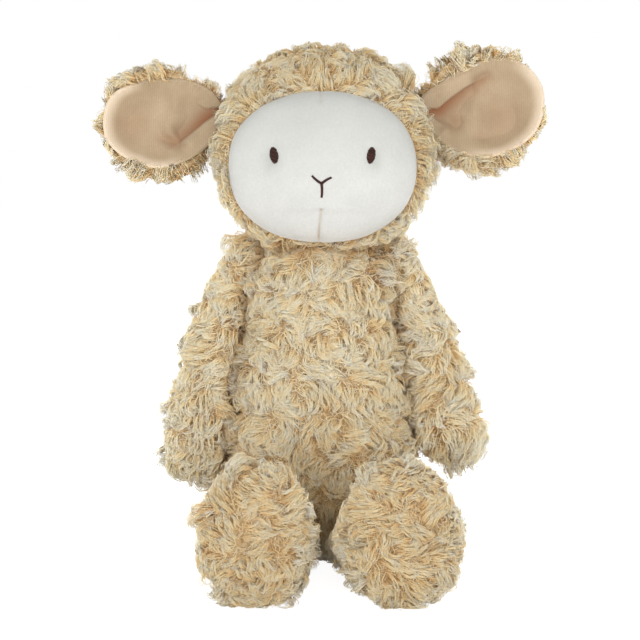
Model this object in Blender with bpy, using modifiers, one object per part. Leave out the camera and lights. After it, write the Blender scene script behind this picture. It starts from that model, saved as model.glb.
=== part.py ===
"""A seated plush sheep: fur covers over stuffing, with jointed head, ears, arms, legs and tail.

Metres, +Z up. The sheep sits on z = 0 and faces -Y, with its own left side at +X.
The origin is on the floor, under the middle of the seat.
"""

import math

import bmesh
import bpy
from mathutils import Matrix, Vector
from mathutils.bvhtree import BVHTree

# Fabric and seams

FUR_COVER = 0.0050  # backing and the packed part of the pile
VELOUR = 0.0020
SEAM_GAP = 0.0003
STUFFING_GAP = 0.0008  # between a cover and what fills it
TURNING_GAP = 0.0008  # round the neck knob, which the head turns on
FLOOR_CUT = 0.0005  # how far the seat and the legs are pressed flat
OVERRUN = 0.0400  # how far a cutter reaches past what it cuts

# Body

BODY_HEIGHT = 0.1890
BODY_WIDTH = 0.1110
BODY_DEPTH = 0.0880
PELLET_FILL_HEIGHT = 0.0420

# Height, half width and half depth, as shares of the body's own three sizes
BODY_RING_SHARES = (
    (0.016, 0.870, 0.850),
    (0.049, 0.950, 0.940),
    (0.120, 0.995, 0.990),
    (0.270, 0.990, 1.000),
    (0.405, 0.955, 0.985),
    (0.540, 0.900, 0.955),
    (0.680, 0.835, 0.920),
    (0.810, 0.790, 0.890),
    (0.908, 0.765, 0.880),
    (0.950, 0.745, 0.868),
    (0.980, 0.705, 0.845),
    (0.996, 0.560, 0.650),
)
BODY_SEAT_SHARES = (0.740, 0.700)

# Neck: the body cover closes over a round knob, which the head sits on and turns about

NECK_RADIUS = 0.0360
NECK_SINK = 0.0020  # the knob's middle below the top of the body
NECK_OPENING = 0.0220
NECK_SEAM_THREAD = 0.0012
NECK_SEAM_ANGLE = math.radians(14.0)  # above the level of the knob's middle
NECK_HEIGHT = BODY_HEIGHT - NECK_SINK

# Head

HEAD_WIDTH = 0.1230
HEAD_HEIGHT = 0.1245
HEAD_BACK = 0.0520
HEAD_SIDE_SHIFT = 0.0015
HEAD_SINK = 0.0015  # the underside of the head below the top of the body
HEAD_CENTRE_HEIGHT = BODY_HEIGHT - HEAD_SINK + HEAD_HEIGHT / 2.0
FACE_SEAM_FRONT = 0.0410
FACE_DEPTH = 0.0230
FACE_DROP = 0.0075
MUZZLE_DROP = 0.0045
HEAD_SOFTNESS_SHARE = 0.91

# Fur part of the head from the back: distance behind the widest ring as a share of
# HEAD_BACK, then the half width and half height as shares of the head's own
HEAD_BACK_SHARES = (
    (0.970, 0.260, 0.260),
    (0.870, 0.520, 0.520),
    (0.680, 0.750, 0.745),
    (0.420, 0.915, 0.905),
    (0.130, 0.985, 0.980),
)
# In front of it, the distance is a share of FACE_SEAM_FRONT, and the fourth value is
# the ring's drop as a share of FACE_DROP
HEAD_FRONT_SHARES = (
    (0.150, 1.000, 1.000, 0.00),
    (0.520, 0.992, 0.970, 0.05),
    (0.760, 0.975, 0.905, 0.25),
    (0.900, 0.952, 0.825, 0.60),
    (1.000, 0.905, 0.715, 1.00),
)
# The velour face in front of its seam: distance as a share of FACE_DEPTH, the size as
# a share of the seam ring's, and the drop as a share of MUZZLE_DROP
FACE_SHARES = (
    (0.130, 0.985, 0.0),
    (0.390, 0.925, 0.2),
    (0.620, 0.815, 0.5),
    (0.800, 0.650, 0.8),
    (0.920, 0.430, 1.0),
    (0.985, 0.190, 1.0),
)

# Embroidery, from the middle of the face

EYE_WIDTH = 0.0048
EYE_HEIGHT = 0.0092
EYE_TILT = math.radians(8.0)
EYE_SPREAD = 0.0282
EYE_RISE = 0.0073
EMBROIDERY = 0.0008
NOSE_DROP = 0.0096
NOSE_ARM_SIDE = 0.0054
NOSE_ARM_RISE = 0.0044
NOSE_STEM = 0.0078
NOSE_THREAD = 0.0015
EYE_RING_SHARES = (0.5, 1.0)

# Ears

EAR_LENGTH = 0.0655
RIGHT_EAR_WIDTH = 0.0600  # folded closer than the left one
LEFT_EAR_WIDTH = 0.0680
EAR_CUP = 0.0140
EAR_FUR = 0.0058
EAR_HINGE_RADIUS = 0.0045
EAR_HINGE_HALF_LENGTH = 0.0120
EAR_LINING_LENGTH = 0.0630
EAR_LINING_START = 0.0050
EAR_FRINGE = 0.0042  # from the lining's edge out to the ear's
RIGHT_EAR_RISE = 0.0155  # above the middle of the head
LEFT_EAR_RISE = 0.0190
EAR_WIDTHS = {"right": RIGHT_EAR_WIDTH, "left": LEFT_EAR_WIDTH}
EAR_RISES = {"right": RIGHT_EAR_RISE, "left": LEFT_EAR_RISE}
EAR_TILTS = {"right": 0.0, "left": math.radians(8.0)}
EAR_TWIST_SHARE = 0.30  # where the ear has turned from its seam's lean to its own
EAR_RIM_SHARE = 0.45  # how far the rim stands forward, of the cup's depth
# Along the ear, then the half width and the cup's depth, as shares
EAR_SHARES = (
    (0.00, 0.34, 0.00),
    (0.10, 0.58, 0.26),
    (0.22, 0.82, 0.62),
    (0.36, 0.96, 0.92),
    (0.52, 1.00, 1.00),
    (0.70, 0.92, 0.84),
    (0.86, 0.71, 0.54),
    (0.95, 0.46, 0.28),
    (1.00, 0.18, 0.10),
)

# Arms: a bent sleeve that leaves the side of the body and hangs down

SHOULDER_DROP = 0.0090  # below the top of the body
SHOULDER_PRESS = 0.0012  # how deep the arm's seam presses the body's side flat
SIDE_LEAN = math.radians(6.5)  # how the body's sides spread towards the seat
ARM_WIDTH = 0.0385
ARM_ROOT_LENGTH = 0.0060
ARM_OUT = 0.0210
RIGHT_ARM_LENGTH = 0.1345
LEFT_ARM_LENGTH = 0.1270
LEFT_ARM_SPLAY = 0.0090
SHOULDER_HEIGHT = BODY_HEIGHT - SHOULDER_DROP
ARM_LENGTHS = {"right": RIGHT_ARM_LENGTH, "left": LEFT_ARM_LENGTH}
ARM_SPLAYS = {"right": 0.0, "left": LEFT_ARM_SPLAY}
# Distance down the arm, out from the shoulder's flat, the sleeve's lean from
# straight out towards straight down, and its half width, as shares
ARM_SHARES = (
    (0.000, 0.000, 0.00, 0.78),
    (0.020, 0.320, 0.25, 0.78),
    (0.080, 0.560, 0.58, 0.77),
    (0.170, 0.720, 0.86, 0.76),
    (0.340, 0.860, 0.97, 0.83),
    (0.520, 0.950, 0.98, 0.91),
    (0.700, 1.020, 0.98, 0.98),
    (0.835, 1.060, 0.98, 1.00),
    (0.920, 1.080, 0.99, 0.87),
    (0.975, 1.090, 1.00, 0.52),
)

# Legs: hinged at a roll along the lower front edge of the body

HIP_INSET = 0.0060  # behind the front of the body
HIP_SIDE_INSET = 0.0255  # from the side of the body in to the middle of the hip
HIP_HEIGHT = 0.0180
HIP_ROLL_RADIUS = 0.0090
HIP_ROLL_HALF_LENGTH = 0.0220
HIP_TAPER = math.radians(30.0)
HIP_LIFT = math.radians(15.0)
HIP_DROP = math.radians(90.0)
LEG_LENGTH = 0.1080
RIGHT_PAW_WIDTH = 0.0630
LEFT_PAW_WIDTH = 0.0670
PAW_HEIGHT = 0.0835
SOLE_DEPTH = 0.0052
RIGHT_PAW_SPLAY = 0.0060  # how much further out the foot lies than its hip
LEFT_PAW_SPLAY = 0.0150
HIP_FORWARD = BODY_DEPTH / 2.0 - HIP_INSET
HIP_SPREAD = BODY_WIDTH / 2.0 - HIP_SIDE_INSET
PAW_WIDTHS = {"right": RIGHT_PAW_WIDTH, "left": LEFT_PAW_WIDTH}
PAW_SPLAYS = {"right": RIGHT_PAW_SPLAY, "left": LEFT_PAW_SPLAY}
# Distance from the hip, half width, underside and top, as shares of LEG_LENGTH,
# half of the foot's width and PAW_HEIGHT, and the share of the way from hip to foot
LEG_SHARES = (
    (0.110, 0.720, 0.045, 0.370, 0.10),
    (0.210, 0.745, 0.000, 0.435, 0.25),
    (0.400, 0.770, 0.000, 0.520, 0.50),
    (0.590, 0.785, 0.000, 0.575, 0.75),
    (0.720, 0.835, 0.000, 0.650, 0.90),
    (0.800, 0.920, 0.000, 0.810, 1.00),
    (0.870, 0.985, 0.000, 0.945, 1.00),
    (0.930, 1.000, 0.000, 1.000, 1.00),
    (0.975, 0.965, 0.010, 0.985, 1.00),
    (1.000, 0.890, 0.040, 0.945, 1.00),
)
# Forward through the sole, then its size
SOLE_SHARES = (
    (0.00, 1.00),
    (0.30, 0.97),
    (0.65, 0.82),
    (0.90, 0.52),
)

# Tail

TAIL_HEIGHT = 0.0460
TAIL_LENGTH = 0.0380
TAIL_WIDTH = 0.0240
TAIL_THICKNESS = 0.0170
TAIL_ROLL_RADIUS = 0.0050
TAIL_ROLL_HALF_LENGTH = 0.0080
TAIL_ANGLE = math.radians(52.0)  # below level
TAIL_SHARES = (
    (0.220, 0.820, 0.800),
    (0.450, 0.980, 0.980),
    (0.680, 0.960, 0.980),
    (0.860, 0.720, 0.740),
    (0.960, 0.400, 0.420),
)

# Tufts: the fur's hillocks, one round each point of the body's and the head's rings

TUFT_RISE = 0.0022
TUFT_SINK = 0.0014  # between the tufts
TUFT_MARGIN = 0.0260  # clear of the neck, the ears, the tail and the floor
TUFT_SEAM_MARGIN = 0.0120  # clear of the face seam

# Facets round each form

BODY_SIDES = 20
HEAD_SIDES = 24
ARM_SIDES = 14
LEG_SIDES = 18
TAIL_SIDES = 10
NECK_SIDES = 24
NECK_STEPS = 16
THREAD_SIDES = 6
ROLL_STEPS = 3
EYE_SIDES = 12
EAR_COLUMNS = 6
EAR_ROLL_SIDES = 12
EAR_ROLL_STEPS = 8
SMOOTH_ANGLE = math.radians(50.0)

# Screen colours to the light values that a shader takes

SCREEN_OFFSET = 0.055
SCREEN_POWER = 2.4

HALF = 0.5
FULL_TURN = 2.0 * math.pi
QUARTER_TURN = 0.5 * math.pi
SIDES = ("right", "left")
X_AXIS = Vector((1.0, 0.0, 0.0))
Y_AXIS = Vector((0.0, 1.0, 0.0))
Z_AXIS = Vector((0.0, 0.0, 1.0))


# Scene and materials


def clear_scene():
    for thing in list(bpy.data.objects):
        bpy.data.objects.remove(thing, do_unlink=True)


def new_collection(name):
    found = bpy.data.collections.new(name)
    bpy.context.scene.collection.children.link(found)
    return found


def linear(channel):
    """A screen colour channel as the light value that a shader takes."""
    return ((channel + SCREEN_OFFSET) / (1.0 + SCREEN_OFFSET)) ** SCREEN_POWER


def make_material(name, colour, roughness):
    found = bpy.data.materials.new(name)
    found.use_nodes = True
    shader = found.node_tree.nodes["Principled BSDF"]
    shader.inputs["Base Color"].default_value = (*map(linear, colour), 1.0)
    shader.inputs["Roughness"].default_value = roughness
    shader.inputs["Metallic"].default_value = 0.0
    return found


# Shapes


def side_sign(side):
    """Which way along X the sheep's right or left lies."""
    return 1.0 if side == "left" else -1.0


def oval_ring(centre, across, up, half_across, half_up, sides, softness_share=1.0):
    """Points round an oval, with a flat at each end of both its axes.

    A softness under 1 fills out its corners.
    """
    points = []
    for step in range(sides):
        angle = FULL_TURN * (step + HALF) / sides
        cosine, sine = math.cos(angle), math.sin(angle)
        x = math.copysign(abs(cosine) ** softness_share, cosine)
        y = math.copysign(abs(sine) ** softness_share, sine)
        points.append(centre + across * (half_across * x) + up * (half_up * y))
    return points


def add_band(shape, lower, upper):
    count = len(lower)
    for i in range(count):
        j = (i + 1) % count
        shape.faces.new((lower[i], lower[j], upper[j], upper[i]))


def add_end(shape, ring, pole):
    tip = shape.verts.new(pole)
    count = len(ring)
    for i in range(count):
        shape.faces.new((ring[i], ring[(i + 1) % count], tip))


def lofted_mesh(name, start, rings, end):
    """A closed skin through rings of points, with a pole at each end."""
    shape = bmesh.new()
    layers = [[shape.verts.new(p) for p in ring] for ring in rings]
    for lower, upper in zip(layers, layers[1:]):
        add_band(shape, lower, upper)
    add_end(shape, layers[0], start)
    add_end(shape, layers[-1], end)
    bmesh.ops.recalc_face_normals(shape, faces=shape.faces)
    mesh = bpy.data.meshes.new(name)
    shape.to_mesh(mesh)
    shape.free()
    return mesh


def inset_mesh(name, source, distance):
    """A copy of a closed skin, moved inwards by the same distance everywhere."""
    shape = bmesh.new()
    shape.from_mesh(source)
    shape.normal_update()
    moves = [(v, v.normal * (distance * v.calc_shell_factor())) for v in shape.verts]
    for vertex, move in moves:
        vertex.co -= move
    mesh = bpy.data.meshes.new(name)
    shape.to_mesh(mesh)
    shape.free()
    return mesh


def ball_mesh(name, centre, along, half_length, radius, steps, sides):
    """A ball stretched along one direction, turned round that direction."""
    shape = bmesh.new()
    bmesh.ops.create_uvsphere(shape, u_segments=sides, v_segments=steps, radius=1.0)
    turn = Z_AXIS.rotation_difference(along).to_matrix().to_4x4()
    size = Matrix.Diagonal((radius, radius, half_length, 1.0))
    shape.transform(Matrix.Translation(centre) @ turn @ size)
    mesh = bpy.data.meshes.new(name)
    shape.to_mesh(mesh)
    shape.free()
    return mesh


def box_mesh(name, low, high):
    shape = bmesh.new()
    bmesh.ops.create_cube(shape, size=1.0)
    size = Matrix.Diagonal((*(high - low), 1.0))
    shape.transform(Matrix.Translation((low + high) / 2.0) @ size)
    mesh = bpy.data.meshes.new(name)
    shape.to_mesh(mesh)
    shape.free()
    return mesh


def prism_mesh(name, outline, half_length):
    """An outline of Y and Z places, drawn out along X to both sides."""
    shape = bmesh.new()
    near = [shape.verts.new((-half_length, y, z)) for y, z in outline]
    far = [shape.verts.new((half_length, y, z)) for y, z in outline]
    add_band(shape, near, far)
    shape.faces.new(near)
    shape.faces.new(far)
    bmesh.ops.recalc_face_normals(shape, faces=shape.faces)
    mesh = bpy.data.meshes.new(name)
    shape.to_mesh(mesh)
    shape.free()
    return mesh


# Objects and their cuts


def add_part(name, mesh, material, hinge=None):
    """An object for one sub-part. Its origin is on its joint, if it has one."""
    part = bpy.data.objects.new(name, mesh)
    if hinge is not None:
        mesh.transform(Matrix.Translation(-hinge))
        part.location = hinge
    mesh.materials.clear()
    mesh.materials.append(material)
    mesh.shade_smooth()
    mesh.set_sharp_from_angle(angle=SMOOTH_ANGLE)
    parts.objects.link(part)
    return part


def add_cutter(name, mesh):
    tool = bpy.data.objects.new(name, mesh)
    tool.hide_render = True
    tool.display_type = "WIRE"
    cutters.objects.link(tool)
    return tool


def combine(part, tool, operation="DIFFERENCE"):
    step = part.modifiers.new(tool.name, "BOOLEAN")
    step.operation = operation
    step.solver = "EXACT"
    step.object = tool


def thicken(part, thickness, offset=-1.0):
    step = part.modifiers.new("Cover", "SOLIDIFY")
    step.thickness = thickness
    step.offset = offset
    step.use_even_offset = True


# Forms, shared by a cover and what fills it


def body_skin():
    half_width, half_depth = BODY_WIDTH / 2.0, BODY_DEPTH / 2.0
    rows = [(-FLOOR_CUT, *BODY_SEAT_SHARES)]
    rows += [(BODY_HEIGHT * height, wide, deep) for height, wide, deep in BODY_RING_SHARES]
    rings = [
        oval_ring(Z_AXIS * height, X_AXIS, Y_AXIS, half_width * wide, half_depth * deep, BODY_SIDES)
        for height, wide, deep in rows
    ]
    return lofted_mesh("body_skin", Z_AXIS * -FLOOR_CUT, rings, Z_AXIS * BODY_HEIGHT)


def tufted_mesh(name, source, may_rise):
    """A copy of a skin with a hillock at each of its points, where they may rise."""
    shape = bmesh.new()
    shape.from_mesh(source)
    tops = len(shape.verts)
    bmesh.ops.subdivide_edges(shape, edges=shape.edges, cuts=1, use_grid_fill=True)
    shape.verts.index_update()
    shape.normal_update()
    moves = []
    for vertex in shape.verts:
        if may_rise(vertex.co):
            reach = TUFT_RISE if vertex.index < tops else -TUFT_SINK
            moves.append((vertex, vertex.normal * reach))
    for vertex, move in moves:
        vertex.co += move
    mesh = bpy.data.meshes.new(name)
    shape.to_mesh(mesh)
    shape.free()
    return mesh


def may_rise_on_body(place):
    tail = Vector((0.0, BODY_DEPTH / 2.0, TAIL_HEIGHT))
    between = TUFT_MARGIN < place.z < BODY_HEIGHT - TUFT_MARGIN
    return between and (place - tail).length > TUFT_MARGIN


def neck_ball_mesh(name, radius):
    return ball_mesh(name, Z_AXIS * NECK_HEIGHT, Z_AXIS, radius, radius, NECK_STEPS, NECK_SIDES)


def body_form(name, skin):
    """The body with its neck knob, cut back where the legs swing."""
    knob = add_cutter(name + "_knob", neck_ball_mesh(name + "_knob", NECK_RADIUS))
    hips = add_cutter(name + "_chamfer", prism_mesh(name + "_chamfer", hip_outline(), BODY_WIDTH))
    form = add_cutter(name, skin)
    combine(form, knob, "UNION")
    combine(form, hips)
    bpy.context.view_layer.update()
    view = bpy.context.evaluated_depsgraph_get()
    return bpy.data.meshes.new_from_object(form.evaluated_get(view), depsgraph=view)


def head_place(distance_back, drop):
    return Vector((HEAD_SIDE_SHIFT, distance_back, HEAD_CENTRE_HEIGHT - drop))


def head_ring(distance_back, drop, wide, tall):
    return oval_ring(
        head_place(distance_back, drop),
        X_AXIS,
        Z_AXIS,
        HEAD_WIDTH / 2.0 * wide,
        HEAD_HEIGHT / 2.0 * tall,
        HEAD_SIDES,
        HEAD_SOFTNESS_SHARE,
    )


def head_form():
    """The whole head, fur and face, turned about the line that the face looks along."""
    rings = [head_ring(HEAD_BACK * back, 0.0, wide, tall) for back, wide, tall in HEAD_BACK_SHARES]
    for front, wide, tall, drop in HEAD_FRONT_SHARES:
        rings.append(head_ring(-FACE_SEAM_FRONT * front, FACE_DROP * drop, wide, tall))
    seam_wide, seam_tall = HEAD_FRONT_SHARES[-1][1:3]
    for front, size, drop in FACE_SHARES:
        rings.append(
            head_ring(
                -FACE_SEAM_FRONT - FACE_DEPTH * front,
                FACE_DROP + MUZZLE_DROP * drop,
                seam_wide * size,
                seam_tall * size,
            )
        )
    nose_tip = head_place(-FACE_SEAM_FRONT - FACE_DEPTH, FACE_DROP + MUZZLE_DROP)
    return lofted_mesh("head_form", head_place(HEAD_BACK, 0.0), rings, nose_tip)


def side_directions(sign):
    """Out of and down the side of the body, whose sides lean outwards."""
    out = Vector((sign * math.cos(SIDE_LEAN), 0.0, math.sin(SIDE_LEAN)))
    down = Vector((sign * math.sin(SIDE_LEAN), 0.0, -math.cos(SIDE_LEAN)))
    return out, down


def body_half_width(height):
    """How far the body's side stands from the middle plane at one height."""
    rows = [(BODY_HEIGHT * level, BODY_WIDTH / 2.0 * wide) for level, wide, _ in BODY_RING_SHARES]
    for (below, inner), (above, outer) in zip(rows, rows[1:]):
        if below <= height <= above:
            return inner + (outer - inner) * (height - below) / (above - below)
    return rows[-1][1]


def shoulder_flat(sign):
    """The middle of the flat that the arm's seam presses into the body's side."""
    reach = body_half_width(SHOULDER_HEIGHT) - SHOULDER_PRESS
    return Vector((sign * reach, 0.0, SHOULDER_HEIGHT))


def shoulder_place(sign):
    out, _ = side_directions(sign)
    return shoulder_flat(sign) + out * SEAM_GAP


def arm_form(side):
    """The sleeve, whose first ring stands inside the shoulder's flat until it is cut."""
    sign = side_sign(side)
    out, down = side_directions(sign)
    shoulder = shoulder_place(sign)
    length, splay = ARM_LENGTHS[side], ARM_SPLAYS[side]
    root = shoulder - out * ARM_ROOT_LENGTH
    root_half = ARM_WIDTH / 2.0 * ARM_SHARES[0][3]
    rings = [oval_ring(root, down, Y_AXIS, root_half, root_half, ARM_SIDES)]
    for along, away, lean, wide in ARM_SHARES:
        centre = shoulder + down * (length * along)
        centre += out * (ARM_OUT * away + splay * along * along)
        angle = QUARTER_TURN * lean
        across = down * math.cos(angle) - out * math.sin(angle)
        half = ARM_WIDTH / 2.0 * wide
        rings.append(oval_ring(centre, across, Y_AXIS, half, half, ARM_SIDES))
    tip = shoulder + down * length + out * (ARM_OUT * ARM_SHARES[-1][1] + splay)
    return lofted_mesh(side + "_arm_form", root, rings, tip)


def hip_place(sign):
    return Vector((sign * HIP_SPREAD, -HIP_FORWARD, HIP_HEIGHT))


def paw_side(side):
    """How far to the side the middle of a foot lies."""
    return side_sign(side) * (HIP_SPREAD + PAW_SPLAYS[side])


def roll_rings(hinge, along, across, up, half_length, radius, sides):
    """The rounded root of a limb: half a ball stretched along its hinge line."""
    rings = []
    for step in range(1, ROLL_STEPS + 1):
        angle = QUARTER_TURN * step / ROLL_STEPS
        centre = hinge - along * (radius * math.cos(angle))
        size = math.sin(angle)
        rings.append(oval_ring(centre, across, up, half_length * size, radius * size, sides))
    return rings


def leg_form(side):
    sign = side_sign(side)
    hip = hip_place(sign)
    rings = roll_rings(
        hip, -Y_AXIS, X_AXIS, Z_AXIS, HIP_ROLL_HALF_LENGTH, HIP_ROLL_RADIUS, LEG_SIDES
    )
    for along, wide, low, high, sideways in LEG_SHARES:
        underside = PAW_HEIGHT * low - FLOOR_CUT
        top = PAW_HEIGHT * high
        x = hip.x + (paw_side(side) - hip.x) * sideways
        centre = Vector((x, hip.y - LEG_LENGTH * along, (underside + top) / 2.0))
        half_width, half_height = PAW_WIDTHS[side] / 2.0 * wide, (top - underside) / 2.0
        rings.append(oval_ring(centre, X_AXIS, Z_AXIS, half_width, half_height, LEG_SIDES))
    rings.append([point - Y_AXIS * OVERRUN for point in rings[-1]])
    start = hip + Y_AXIS * HIP_ROLL_RADIUS
    end = sole_centre(side) - Y_AXIS * OVERRUN
    return lofted_mesh(side + "_leg_form", start, rings, end)


def sole_centre(side):
    low, high = LEG_SHARES[-1][2:4]
    height = (PAW_HEIGHT * (low + high) - FLOOR_CUT) / 2.0
    return Vector((paw_side(side), -HIP_FORWARD - LEG_LENGTH, height))


# Sub-parts


def build_body(form, tufted_form):
    inside = FUR_COVER + STUFFING_GAP
    cover = add_part("body_cover", tufted_form, fur)
    stuffing = add_part("body_stuffing", inset_mesh("body_stuffing", form, inside), fibrefill)
    pellets = add_part("seat_pellet_bag", inset_mesh("seat_pellet_bag", form, inside), lining_cloth)
    combine(cover, add_cutter("body_inside", inset_mesh("body_inside", form, FUR_COVER)))

    opening = tube_mesh("neck_opening", Z_AXIS * (NECK_HEIGHT + NECK_RADIUS), NECK_OPENING)
    combine(cover, add_cutter("neck_opening", opening))
    far = Vector((BODY_WIDTH, BODY_DEPTH, PELLET_FILL_HEIGHT))
    combine(stuffing, add_cutter("below_fill", box_mesh("below_fill", -far, far)))
    lid = Vector((BODY_WIDTH, BODY_DEPTH, BODY_HEIGHT + NECK_RADIUS + OVERRUN))
    foot_of_lid = Vector((-BODY_WIDTH, -BODY_DEPTH, PELLET_FILL_HEIGHT - SEAM_GAP))
    combine(pellets, add_cutter("above_pellets", box_mesh("above_pellets", foot_of_lid, lid)))
    for side in SIDES:
        combine(cover, add_cutter(side + "_shoulder_flat", shoulder_flat_mesh(side)))
    combine(cover, floor_cutter)


def tube_mesh(name, centre, radius):
    shape = bmesh.new()
    bmesh.ops.create_cone(
        shape, cap_ends=True, segments=NECK_SIDES, radius1=radius, radius2=radius, depth=OVERRUN
    )
    shape.transform(Matrix.Translation(centre))
    mesh = bpy.data.meshes.new(name)
    shape.to_mesh(mesh)
    shape.free()
    return mesh


def hip_outline():
    """The room that both legs sweep, from lifted to hanging, seen along the hip line.

    Two flats touch the hip roll's round and meet behind it.
    """
    round_edge = HIP_ROLL_RADIUS + SEAM_GAP
    rise = HIP_TAPER + HIP_LIFT
    fall = HIP_TAPER + HIP_DROP
    upper = Vector((-math.cos(rise), math.sin(rise)))
    lower = Vector((-math.cos(fall), -math.sin(fall)))
    hip = Vector((-HIP_FORWARD, HIP_HEIGHT))
    half_opening = (rise + fall) / 2.0
    bisector = (upper + lower).normalized()
    corner = hip - bisector * (round_edge / math.sin(half_opening))
    reach = BODY_DEPTH + OVERRUN
    far = corner + bisector * (reach * 2.0)
    return [corner, corner + upper * reach, far, corner + lower * reach]


def shoulder_flat_mesh(side):
    """Everything outside a shoulder's flat."""
    sign = side_sign(side)
    out, _ = side_directions(sign)
    half = Vector((ARM_LENGTHS[side], BODY_DEPTH, BODY_HEIGHT))
    block = box_mesh(side + "_shoulder_block", -half, half)
    turn = X_AXIS.rotation_difference(out).to_matrix().to_4x4()
    block.transform(Matrix.Translation(shoulder_flat(sign) + out * half.x) @ turn)
    return block


def shoulder_inside_mesh(side):
    """Everything inside the plane that the arm's root lies on."""
    sign = side_sign(side)
    out, _ = side_directions(sign)
    half = Vector((BODY_WIDTH, BODY_DEPTH, BODY_HEIGHT))
    block = box_mesh(side + "_inside_block", -half, half)
    turn = X_AXIS.rotation_difference(out).to_matrix().to_4x4()
    block.transform(Matrix.Translation(shoulder_place(sign) - out * half.x) @ turn)
    return block


def build_arm(side):
    sign = side_sign(side)
    hinge = shoulder_place(sign)
    form = arm_form(side)
    inside = FUR_COVER + STUFFING_GAP
    stuffing_mesh = inset_mesh(side + "_arm_stuffing", form, inside)
    cover = add_part(side + "_arm_cover", form, fur, hinge)
    stuffing = add_part(side + "_arm_stuffing", stuffing_mesh, fibrefill, hinge)
    thicken(cover, FUR_COVER)
    cut = add_cutter(side + "_arm_root_cut", shoulder_inside_mesh(side))
    combine(cover, cut)
    combine(stuffing, cut)


def build_leg(side):
    sign = side_sign(side)
    hinge = hip_place(sign)
    form = leg_form(side)
    inside = FUR_COVER + STUFFING_GAP
    stuffing_mesh = inset_mesh(side + "_leg_stuffing", form, inside)
    cover = add_part(side + "_leg_cover", form, fur, hinge)
    stuffing = add_part(side + "_leg_stuffing", stuffing_mesh, fibrefill, hinge)
    thicken(cover, FUR_COVER)
    half = Vector((PAW_WIDTHS[side], OVERRUN, PAW_HEIGHT))
    middle = sole_centre(side) - Y_AXIS * OVERRUN
    cut = add_cutter(side + "_sole_cut", box_mesh(side + "_sole_block", middle - half, middle + half))
    combine(cover, cut)
    combine(stuffing, cut)
    combine(cover, floor_cutter)
    add_part(side + "_sole", sole_mesh(side), fur, hinge)


def sole_mesh(side):
    """A plump oval of fur fabric that closes the front of the foot."""
    sole = sole_centre(side)
    low, high = LEG_SHARES[-1][2:4]
    half_width = PAW_WIDTHS[side] / 2.0 * LEG_SHARES[-1][1]
    half_height = (PAW_HEIGHT * (high - low) + FLOOR_CUT) / 2.0
    back = sole - Y_AXIS * SEAM_GAP
    rings = []
    for along, size in SOLE_SHARES:
        centre = back - Y_AXIS * (SOLE_DEPTH * along)
        rings.append(
            oval_ring(centre, X_AXIS, Z_AXIS, half_width * size, half_height * size, LEG_SIDES)
        )
    return lofted_mesh(side + "_sole", back, rings, back - Y_AXIS * SOLE_DEPTH)


def seam_ring_mesh(name, thickness):
    """A ring round the neck knob, a little above its middle."""
    radius = NECK_RADIUS + SEAM_GAP + NECK_SEAM_THREAD
    bpy.ops.mesh.primitive_torus_add(
        major_segments=NECK_SIDES,
        minor_segments=THREAD_SIDES,
        major_radius=radius * math.cos(NECK_SEAM_ANGLE),
        minor_radius=thickness,
        location=(0.0, 0.0, 0.0),
    )
    ring = bpy.context.object
    mesh = ring.data.copy()
    mesh.name = name
    bpy.data.objects.remove(ring, do_unlink=True)
    rise = radius * math.sin(NECK_SEAM_ANGLE)
    mesh.transform(Matrix.Translation(Z_AXIS * (NECK_HEIGHT + rise)))
    return mesh


def build_neck_seam():
    mesh = seam_ring_mesh("neck_seam", NECK_SEAM_THREAD)
    add_part("neck_seam", mesh, thread, Z_AXIS * NECK_HEIGHT)


def may_rise_on_head(form):
    """The test for a place on the head: clear of the neck, the ears and the face."""
    surface = surface_of(form)
    ears = [ear_hinge(surface, side)[0] for side in SIDES]

    def test(place):
        behind_face = place.y > TUFT_SEAM_MARGIN - FACE_SEAM_FRONT
        above_neck = place.z > BODY_HEIGHT + TUFT_MARGIN
        off_ears = min((place - ear).length for ear in ears) > TUFT_MARGIN
        return behind_face and above_neck and off_ears

    return test


def build_head(form):
    neck = Z_AXIS * NECK_HEIGHT
    cover = add_part("head_cover", tufted_mesh("head_cover", form, may_rise_on_head(form)), fur, neck)
    combine(cover, add_cutter("head_inside", inset_mesh("head_inside", form, FUR_COVER)))
    face = add_part("face_panel", form.copy(), velour_white, neck)
    thicken(face, VELOUR)
    stuffing_mesh = inset_mesh("head_stuffing", form, FUR_COVER + STUFFING_GAP)
    stuffing = add_part("head_stuffing", stuffing_mesh, fibrefill, neck)

    half = Vector((HEAD_WIDTH, HEAD_BACK + OVERRUN, HEAD_HEIGHT))
    seam = head_place(-FACE_SEAM_FRONT, 0.0)
    front = seam - Y_AXIS * half.y
    back = seam + Y_AXIS * (half.y - SEAM_GAP)
    before_seam = add_cutter("before_seam", box_mesh("before_seam", front - half, front + half))
    behind_seam = add_cutter("behind_seam", box_mesh("behind_seam", back - half, back + half))
    combine(cover, before_seam)
    combine(face, behind_seam)

    filling = add_cutter("face_filling", inset_mesh("face_filling", form, VELOUR + STUFFING_GAP))
    combine(filling, behind_seam)
    combine(stuffing, filling, "UNION")

    socket = add_cutter("neck_socket", neck_ball_mesh("neck_socket", NECK_RADIUS + TURNING_GAP))
    groove = add_cutter("seam_groove", seam_ring_mesh("seam_groove", NECK_SEAM_THREAD + SEAM_GAP))
    for part in (cover, stuffing):
        combine(part, socket)
        combine(part, groove)


def on_face(surface, x, z, lift):
    """The place on the face at this width and height, lifted off it."""
    start = Vector((x, -FACE_SEAM_FRONT - FACE_DEPTH - OVERRUN, z))
    place, normal, _, _ = surface.ray_cast(start, Y_AXIS)
    return place + normal * lift


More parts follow.
